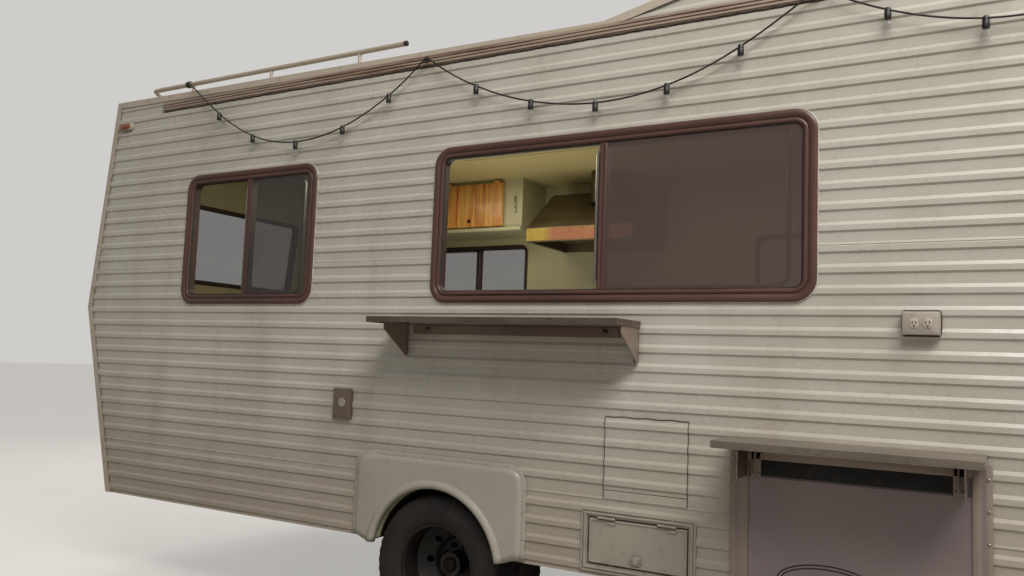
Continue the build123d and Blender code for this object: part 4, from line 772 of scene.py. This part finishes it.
tyre_points, tyre_faces = tyre_mesh()
wheels = [("rear_left_outer", rear_axle_x, dual_outer_y, "wheels_rear_left"),
          ("rear_left_inner", rear_axle_x, dual_outer_y - dual_pitch, "wheels_rear_left"),
          ("rear_right_outer", rear_axle_x, -dual_outer_y, "wheels_rear_right"),
          ("rear_right_inner", rear_axle_x, dual_pitch - dual_outer_y, "wheels_rear_right"),
          ("front_left", front_axle_x, front_wheel_y, "wheel_front_left"),
          ("front_right", front_axle_x, -front_wheel_y, "wheel_front_right")]
tyre_nodes = {"rear_left_outer": "tyres_rear_left", "rear_right_outer": "tyres_rear_right",
              "front_left": "tyre_front_left", "front_right": "tyre_front_right"}
for name, x, y, body in wheels:
    side = 1 if y > 0 else -1
    centre = at(x, y, tyre_radius)
    turned = [Vector((p[0], side * p[1], p[2])) + centre for p in tyre_points]
    flipped = tyre_faces if side > 0 else [tuple(reversed(face)) for face in tyre_faces]
    made = piece(f"tyre_{name}", turned, flipped, rubber, "tyre", body)
    if name in tyre_nodes:
        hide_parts(tyre_nodes[name])

# Wheel nuts and hub caps: (radius, distance outwards)
rear_nut = [(13, 0), (13, 16), (11, 18), (6, 19), (6, 30), (0.01, 31)]
front_nut = [(13, 0), (13, 14), (9, 18), (0.01, 19)]
hub_cap = [(50, -2), (50, 4), (40, 10), (34, 12), (34, 26), (30, 30), (0.01, 31)]


def nut_ring(x, y, side, profile):
    """Nuts on their circle round a wheel's centre, facing outwards."""
    nuts = []
    for turn in range(lug_count):
        angle = 2 * math.pi * (turn + 0.5) / lug_count
        place = at(x + lug_circle * math.sin(angle), y, tyre_radius + lug_circle * math.cos(angle))
        nuts.append(lathe(profile, place, (0, side, 0), 6))
    return nuts


for side, label in ((1, "left"), (-1, "right")):
    hub = at(rear_axle_x, side * (dual_outer_y - hub_recess), tyre_radius)
    lugs = nut_ring(rear_axle_x, side * (dual_outer_y - dual_pitch / 2 + 10), side, rear_nut)
    lugs.append(lathe(hub_cap, hub, (0, side, 0), 24))
    group(f"rear_lugs_{label}", lugs, iron, "rim", f"wheels_rear_{label}")
    lugs = nut_ring(front_axle_x, side * (front_wheel_y + dual_pitch / 2), side, front_nut)
    group(f"front_lugs_{label}", lugs, iron, "rim", f"wheel_front_{label}")

# Moulded skirts with rolled lips round the rear arches
fender_corner = 90
lip_width = 34
fender_spans = 40
panel_rows = ((0, -3), (0, 5), (3, 6.5), (20, 7), (26, 12), (32, 17), (44, 19))
lip_rows = ((44, 19), (lip_width + 4, 20), (lip_width - 2, 24), (lip_width - 10, 31), (lip_width - 19, 34),
            (8, 32), (2, 26), (0, 16), (0, -3))


def fender(side, name):
    """Flange, raised panel and rolled arch lip on one side."""
    place = on_curb if side < 0 else on_street
    # The panel is a grid from the arch lip out to the rounded outline
    arc_low = math.asin((fender_foot - arch_z) / arch_radius)
    outer = []
    lip = []
    for step in range(fender_spans + 1):
        angle = math.pi - arc_low - (math.pi - 2 * arc_low) * step / fender_spans
        direction = (math.cos(angle), math.sin(angle))
        lip.append((rear_axle_x + arch_radius * direction[0], arch_z + arch_radius * direction[1], direction))
        borders = ((fender_x[0] - rear_axle_x, direction[0]), (fender_x[1] - rear_axle_x, direction[0]),
                   (fender_top - arch_z, direction[1]))
        reach = min(away / slope for away, slope in borders if abs(slope) > 1e-6 and away / slope > 0)
        outer.append((rear_axle_x + reach * direction[0], arch_z + reach * direction[1]))

    def rounded(point, inset):
        """Pull a point of the square outline inside an outline with round upper corners."""
        u = min(max(point[0], fender_x[0] + inset), fender_x[1] - inset)
        v = min(point[1], fender_top - inset)
        radius = max(fender_corner - inset, 20)
        for cu in (fender_x[0] + inset + radius, fender_x[1] - inset - radius):
            cv = fender_top - inset - radius
            du, dv = u - cu, v - cv
            if dv > 0 and du * (cu - rear_axle_x) > 0:
                away = math.hypot(du, dv)
                if away > radius:
                    u, v = cu + du * radius / away, cv + dv * radius / away
        return u, v

    rows = []
    for inset, out in panel_rows:
        rows.append([(*rounded(point, inset), out) for point in outer])
    for reach, out in lip_rows:
        rows.append([(u + reach * d[0], v + reach * d[1], out) for u, v, d in lip])
    points = [place(*p) for row in rows for p in row]
    faces = quads(len(rows), fender_spans + 1, ring=False)
    made = piece(name, points, faces, fender_paint, "fender")
    thick = made.modifiers.new("sheet", "SOLIDIFY")
    thick.thickness = 0.003
    heads = []
    for u in range(fender_x[0] + 70, fender_x[1] - 40, skirt_screw_pitch):
        heads.append(place(u, fender_top - 11, 6.8))
    for v in skirt_screws_z:
        heads.append(place(fender_x[1] - 11, v, 6.8))
        heads.append(place(fender_x[0] + 11, v, 6.8))
    piece(name + "_screws", *studs(heads, (0, side, 0), 5, 3), black_and_shade, "fender")
    # A dark sheet closes the arch inside: a wheel-house liner that is also painted shade, darkening the wheel
    # well
    points = []
    for step in range(shade_liner_steps + 1):
        angle = math.radians(shade_liner_angles[0] + (shade_liner_angles[1] - shade_liner_angles[0]) * step / shade_liner_steps)
        u = rear_axle_x + shade_liner_radius * math.cos(angle)
        v = arch_z + shade_liner_radius * math.sin(angle)
        for y in (half_width - 8, shade_liner_inner_y):
            points.append(at(u, side * y, v))
    faces = [(2 * step, 2 * step + 1, 2 * step + 3, 2 * step + 2) for step in range(shade_liner_steps)]
    piece(name + "_liner", points, faces, rubber, "fender")
    return made


skirt_curb = fender(-1, "fender_curb")
fender(1, "fender_street")
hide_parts("fender_skirts")

# Small parts on the curb side


def stand_out(z):
    """How far the ribbed siding stands out at a height."""
    first_rib = [rib for low, rib in siding_sheets if low <= z or low == siding_sheets[0][0]][-1]
    along = (z - first_rib) % rib_pitch if z > first_rib - rib_rise else rib_pitch / 2
    if along < rib_rise:
        return rib_height * (along + rib_rise) / (2 * rib_rise)
    if along < rib_flat:
        return rib_height
    if along < rib_foot:
        return rib_height * (rib_foot - along) / (rib_foot - rib_flat)
    return rib_height * max(0, along - rib_pitch + rib_rise) / (2 * rib_rise)


def plate(u, v, corner, low, high, edge, place=on_curb):
    """A flat plate between two distances from the flat siding, its front edge rounded."""
    rows = [(0, low), (0, high - edge), (0.3 * edge, high - 0.3 * edge), (edge, high)]
    return capped(u, v, corner, rows, place, 4)


def bead(u, v, corner, width, low, high):
    """A raised rounded bead round a rectangle on the curb side."""
    rows = [(0, low), (0.1 * width, high - 0.3 * (high - low)), (0.35 * width, high), (0.65 * width, high),
            (0.9 * width, high - 0.3 * (high - low)), (width, low)]
    return moulding(u, v, corner, rows, on_curb, False, 3)


# Sealed edge of the patch cover: its sides follow the ribs
for number, u in enumerate(patch_x):
    run = [on_curb(u, z, stand_out(z) + 3.4) for z in range(patch_z[0], patch_z[1] + 1, 3)]
    line(f"patch_side_{number}", run, 1.7, sealant_and_shadow)
head_out = stand_out(patch_z[1]) + 2.6
head_run = range(patch_x[0], patch_x[1] + 1, 12)
smear = [on_curb(u, patch_z[1] + 1.5 * math.sin(u / 17), head_out) for u in head_run]
line("patch_head", smear, 2.6, sealant_and_shadow)
# A dark line across the patch at its lap is a painted shadow of the lap's edge
lap_shadow = [on_curb(u, patch_lap_shadow_z, stand_out(patch_lap_shadow_z) + 3.2) for u in patch_x]
line("patch_lap_shadow", lap_shadow, 1.4, sealant_and_shadow)

# Locker lid: border beads, an inner bead, a seal and an oval latch
hatch_beads = [bead(hatch_x, hatch_z, 3, 9, 5, 9.5),
               bead(shrunk(hatch_x, 13), shrunk(hatch_z, 13), 3, 12, 5, 11)]
group("hatch_border_beads", hatch_beads, hatch_paint, "hatch_paint")
lid_bead = bead(shrunk(hatch_x, 40), shrunk(hatch_z, 40), 3, 9, 4, 8)
group("hatch_lid_bead", [lid_bead], hatch_paint, "hatch_paint", "storage_lid")
seal_profile = [(0, -12), (0, 4.5), (2.4, 4.5), (2.4, -12)]
seal_x = shrunk(hatch_x, hatch_border)
seal_z = shrunk(hatch_z, hatch_border)
seal = moulding(seal_x, seal_z, 2, seal_profile, on_curb, True, 2)
group("hatch_seal", [seal], hatch_paint, "hatch_paint")
latch = [plate(*hatch_latch, 12, 4, 12, 3), plate(*hatch_lever, 6, 10, 18, 3)]
group("hatch_latch", latch, sash_metal, "hatch_paint", "storage_lid")

# Bay: riveted outer strips, stiles, a dark slot of painted shade, brackets and a pressed oval drawn in lines
# of painted shade
strip_z = (464, bay_top_z - 4)
strips = [plate((bay_x[0] - 2, bay_x[0] + 22), strip_z, 2, 5, 11, 2),
          plate((bay_x[1] - 22, bay_x[1] + 2), strip_z, 2, 5, 11, 2),
          plate((bay_x[0] + 32, bay_x[0] + 70), strip_z, 2, -1, 12, 3),
          plate((bay_x[1] - 62, bay_x[1] - 32), strip_z, 2, -1, 12, 3),
          plate((bay_x[0] + 60, bay_x[1] - 55), (bay_slot_z[1], strip_z[1]), 2, -1, 12, 2)]
group("bay_strips", strips, bay_trim, "bay_paint")
rivets = [on_curb(u, z, 11) for u in shrunk(bay_x, 10) for z in reversed(bay_rivets_z)]
group("bay_rivets", [studs(rivets, outwards, 5.5, 4)], sash_metal, "bay_paint")
# The slot is a black plate on the siding: painted shade standing in for a recessed slot
group("bay_slot", [plate(bay_slot_x, bay_slot_z, 2, 3, 5, 0.5)], black_and_shade, "bay_paint")
brackets = []
for u in (bay_slot_x[0] - 38, bay_slot_x[1] + 1):
    brackets.append(plate((u, u + 37), bay_bracket_z, 2, 8, 12, 1.5))
    brackets.append(plate((u + 14, u + 20), bay_bracket_z, 1, 11, 24, 1.5))
group("bay_brackets", brackets, bay_trim, "bay_paint")
bay_screws_x = (*shrunk(bay_slot_x, -30), *shrunk(bay_slot_x, -8))
bay_screws = [on_curb(u, z, 12) for u in sorted(bay_screws_x) for z in bay_screws_z]
group("bay_screws", [studs(bay_screws, outwards, 3.5, 2.5)], screw_metal, "bay_paint")
# The pressed oval is drawn as two dark rings: painted shade along its pressed edges
turns = [2 * math.pi * step / 48 for step in range(49)]
for number, shrink in enumerate((0, 13)):
    half_u = bay_oval_half[0] - shrink
    half_v = bay_oval_half[1] - shrink
    oval = [on_curb(bay_oval[0] + half_u * math.cos(t), bay_oval[1] + half_v * math.sin(t), 6) for t in turns]
    line(f"bay_oval_{number}", oval, 2.2, black_and_shade)

# Double outlet with rounded edges and a caulked gap, and the plate of the water inlet
outlet_faces = [plate((u - 16, u + 16), outlet_face_z, 12, 42, 46, 1.5) for u in outlet_faces_x]
group("outlet_box", [plate(socket_x, socket_z, 10, 0, 44, 6)], fitting_plastic, "fittings")
group("outlet_faces", outlet_faces, trim_paint, "fittings")
# The outlet's slots and pin holes are black plates: painted shade in the holes
slots = [plate((u + d - 1.5, u + d + 1.5), outlet_slot_z, 0.8, 45, 46.6, 0.3)
         for u in outlet_faces_x for d in (-6, 6)]
slots += [plate((u - 3, u + 3), outlet_pin_z, 2.5, 45, 46.6, 0.3) for u in outlet_faces_x]
group("outlet_slots", slots, black_and_shade, "fittings")
caulk = bead(shrunk(socket_x, -5), (socket_z[0] - 6, socket_z[1] + 8), 12, 10, 0, 8)
group("outlet_caulk", [caulk], sealant_and_shadow, "fittings")
inlet_plate = plate(shrunk(inlet_x, -1), shrunk(inlet_z, -1), 4, 0, 24.5, 3)
group("inlet_plate", [inlet_plate], inlet_grey, "fittings")
cap_profile = [(24, 23), (24, 27), (21, 29), (15, 29), (13, 27), (0.01, 27)]
cap = lathe(cap_profile, on_curb(*inlet_cap, 0), outwards, 28)
group("inlet_cap", [cap], fitting_plastic, "fittings")
corners = [on_curb(u, z, 24.5) for u in shrunk(inlet_x, 9) for z in shrunk(inlet_z, 9)]
group("inlet_screws", [studs(corners, outwards, 3.5, 2)], screw_metal, "fittings")

# Roof edge: bead of old sealant under the awning rail, its screws, and the end caps of the roof rail
drip_z = awning_z[0] - 5
drip_out = stand_out(drip_z) + 1
drip = [on_curb(u, drip_z + 2 * math.sin(u / 37) + 1.5 * math.sin(u / 11), drip_out)
        for u in range(awning_x[0] + 6, awning_x[1] - 10, 9)]
line("awning_sealant", drip, 3.0, sealant_and_shadow)
heads = [on_curb(u, awning_z[0] + 3, 12) for u in range(awning_x[0] + 30, awning_x[1], 150)]
group("awning_screws", [studs(heads, outwards, 3.5, 2.5)], screw_metal, "edge_trim")
rail_cap = [(14.6, -14), (14.6, 0.5), (13, 2), (0.01, 2)]
ends = [lathe(rail_cap, at(rail_end[0], side * rail_end[1], rail_end[2]), (1, 0, 0), 20) for side in (1, -1)]
group("roof_rail_caps", ends, black_plastic, "roof_rail")
bolts = [at(u, -crest_y - cleat_depth, z) for u, z in cleat_bolts]
group("cleat_bolts", [studs(bolts, outwards, 14, 6, 16)], screw_metal, "bracket_paint")

# Inside the kitchen: wooden door, hinges, knob, handle, ceiling seam and the tinted front of the hood


def on_cupboard(u, v, out):
    """A place on the cupboards' front, by station, height and how far it stands out."""
    return at(u, cupboard_y - out, v)


door_profile = [(0, 0), (0, 13), (2, 16), (6, 17)]
door = capped(cupboard_door_x, cupboard_door_z, 4, door_profile, on_cupboard, 2)
group("cupboard_door", [door], wood, "cupboard")
hinges = [plate((u - 22, u + 22), cupboard_hinges_z, 8, 0, 24, 4, on_cupboard) for u in cupboard_hinges_x]
group("cupboard_hinges", hinges, wood, "cupboard")
knob_profile = [(6, 0), (6, 8), (12, 12), (13, 17), (9, 22), (0.01, 23)]
knob = lathe(knob_profile, on_cupboard(*cupboard_knob, 16), outwards, 20)
group("cupboard_knob", [knob], iron, "cupboard")
handle = [at(handle_x, y, z) for y, z in handle_bends]
line("cupboard_handle", handle, 6, bright_metal)
rail = plate(*cupboard_rail, 2, -14, 4, 2, on_cupboard)
group("cupboard_rail", [rail], inner_paint, "cupboard")
seam = box(*ceiling_seam, (ceiling_z - 1.2, ceiling_z + 1))
group("ceiling_seam", [seam], sealant_and_shadow, "roof_skin")
piece("hood_front", *box(*hood_front), hood_band, "hood_steel", bevel=0.001)

# Latch of the small window and marker lamps
window_latch = [plate(*window_latch_base, 5, -22, -4, 4), plate(*window_lever, 4, -6, 8, 3)]
group("window_latch", window_latch, black_plastic, "window_frame")
base_profile = [(0, -2), (0, 16), (4, 22), (10, 24)]
cover_profile = [(0, 20), (0, 30), (4, 35), (12, 37)]
for side, place in ((-1, on_curb), (1, on_street)):
    bases = [capped((u - 56, u + 56), (z - 27, z + 27), 26, base_profile, place) for u, z in marker_lamps]
    group(f"marker_bases_{side}", bases, fender_paint, "lamp")
    covers = [capped((u - 32, u + 40), (z - 17, z + 17), 16, cover_profile, place) for u, z in marker_lamps]
    group(f"marker_lenses_{side}", covers, amber_lens, "lamp")


def on_mirror(side):
    """Places on one door mirror's face, by distance from the middle, height and how far they stand out."""
    def place(y, z, out):
        return at(mirror_rear_x - out, side * y, z)
    return place


# Front: chrome rims of the headlamps, and the faces of the door mirrors
rim = [(98, -6), (112, -6), (115, 4), (110, 14), (102, 17), (98, 10)]
rims = [lathe(rim, at(grille_x, side * headlamp_y, headlamp_z), (1, 0, 0), 36) for side in (1, -1)]
group("headlamp_rims", rims, chrome, "grille")
face_profile = [(0, -1), (0, 1.5), (3, 2)]
for side, label in ((1, "left"), (-1, "right")):
    face = capped(shrunk(mirror_y, 10), shrunk(mirror_z, 10), 14, face_profile, on_mirror(side))
    piece(f"mirror_face_{label}", *face, mirror_face, "mirror", f"cab_door_leaf_{label}")

# Nodes that keep their CAD shape

node_finish = (
    (siding_paint, "siding patch_cover"),
    (inner_paint, "curb_wall street_wall rear_wall cab_bulkhead overhead_cabinets"),
    (chassis_paint, "house_floor chassis_frame fuel_tank"),
    (roof_paint, "roof"),
    (panel_paint, "cabover entry_door"),
    (trim_paint, "edge_trims"),
    (rail_paint, "roof_rail"),
    (house_pane, "house_glass entry_glass"),
    (cab_pane, "windscreen door_glass_left door_glass_right"),
    (hatch_paint, "storage_hatch storage_box"),
    (bay_paint, "bay_panel"),
    (counter_top_metal, "bay_counter"),
    (counter_metal, "serving_counter"),
    (bracket_paint, "counter_brackets"),
    (fitting_plastic, "wall_fittings"),
    (spun_metal, "exhaust_fan"),
    (iron, "rear_axle front_axle knuckle_left knuckle_right engine"),
    (black_paint, "rims_rear_left rims_rear_right rim_front_left rim_front_right"),
    (exhaust_metal, "exhaust"),
    (cab_paint, "cab_shell bonnet cab_door_left cab_door_right"),
    (chrome, "grille bumpers"),
    (lamp_lens, "lamps"),
    (black_plastic, "mirror_left mirror_right festoon_hooks"),
    (dash_plastic, "dashboard"),
    (fabric, "cab_seats"),
    (stainless, "galley"),
    (hood_metal, "range_hood"),
)
# Bevel widths in millimetres for nodes with hard edges
softened = {"serving_counter": 2.0, "bay_counter": 2.0, "entry_door": 2.0, "storage_hatch": 2.0,
            "bumpers": 4.0, "bonnet": 4.0, "counter_brackets": 1.0, "galley": 3.0, "range_hood": 3.0,
            "cab_seats": 30.0}
for material, name in ((material, name) for material, names in node_finish for name in names.split()):
    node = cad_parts[name]
    node.data.materials.clear()
    node.data.materials.append(material)
    if name in softened:
        weld = node.modifiers.new("weld", "WELD")
        weld.merge_threshold = 0.00005
        rounded = node.modifiers.new("edges", "BEVEL")
        rounded.width = softened[name] / 1000
        rounded.segments = 2
        rounded.limit_method = "ANGLE"

# Stage: floor, light and world

floor_shade = Recipe("floor", tone(168, 163, 156), 0.9)
floor_shade.tint(tone(160, 154, 146), floor_shade.noise(0.7, 4))
seen_floor = floor_shade.node("ShaderNodeLightPath").outputs["Is Camera Ray"]
floor_shade.shader.inputs["Emission Color"].default_value = (1, 0.975, 0.94, 1)
floor_shade.link(floor_shade.product(seen_floor, 0.42), floor_shade.shader.inputs["Emission Strength"])
floor_shade = floor_shade.done()
floor_mesh = bpy.data.meshes.new("floor")
floor_half = 60
floor_corners = [(-floor_half, -floor_half, 0), (floor_half, -floor_half, 0), (floor_half, floor_half, 0),
                 (-floor_half, floor_half, 0)]
floor_mesh.from_pydata(floor_corners, [], [(0, 1, 2, 3)])
floor_mesh.materials.append(floor_shade)
floor = placed("floor", floor_mesh)

world = bpy.data.worlds.new("studio")
bpy.context.scene.world = world
world.use_nodes = True
tree = world.node_tree
background = tree.nodes["Background"]
background.inputs["Color"].default_value = (1, 0.985, 0.96, 1)
rays = tree.nodes.new("ShaderNodeLightPath")
seen = tree.nodes.new("ShaderNodeMath")
seen.operation = "MAXIMUM"
tree.links.new(rays.outputs["Is Camera Ray"], seen.inputs[0])
tree.links.new(rays.outputs["Is Transmission Ray"], seen.inputs[1])
strength = tree.nodes.new("ShaderNodeMapRange")
strength.inputs["To Min"].default_value = 0.30
strength.inputs["To Max"].default_value = 0.62
tree.links.new(seen.outputs[0], strength.inputs["Value"])
tree.links.new(strength.outputs["Result"], background.inputs["Strength"])


def softbox(name, place, target, size, power, colour=(1, 0.97, 0.93)):
    """A soft area lamp aimed at a point."""
    data = bpy.data.lights.new(name, "AREA")
    data.shape = "RECTANGLE"
    data.size, data.size_y = size
    data.energy = power
    data.color = colour
    lamp = placed(name, data)
    lamp.location = place
    lamp.rotation_euler = (Vector(target) - Vector(place)).to_track_quat("-Z", "Y").to_euler()
    lamp.visible_camera = False


softbox("key", (3.6, -4.6, 7.4), (0.4, -1.1, 1.8), (7, 2.4), 680)
softbox("fill", (-7, 4, 6), (0, 0, 1), (6, 5), 260)
softbox("nose", (9, 2, 5), (2, 0, 1), (5, 4), 220)
softbox("kitchen", (-1.0, -0.2, 2.66), (-1.0, -0.2, 0), (3.2, 0.9), 26, (1, 0.93, 0.74))
softbox("bounce", (-1.6, 0.0, 1.75), (-1.6, 0.1, 2.7), (1.6, 0.8), 7, (1, 0.94, 0.78))
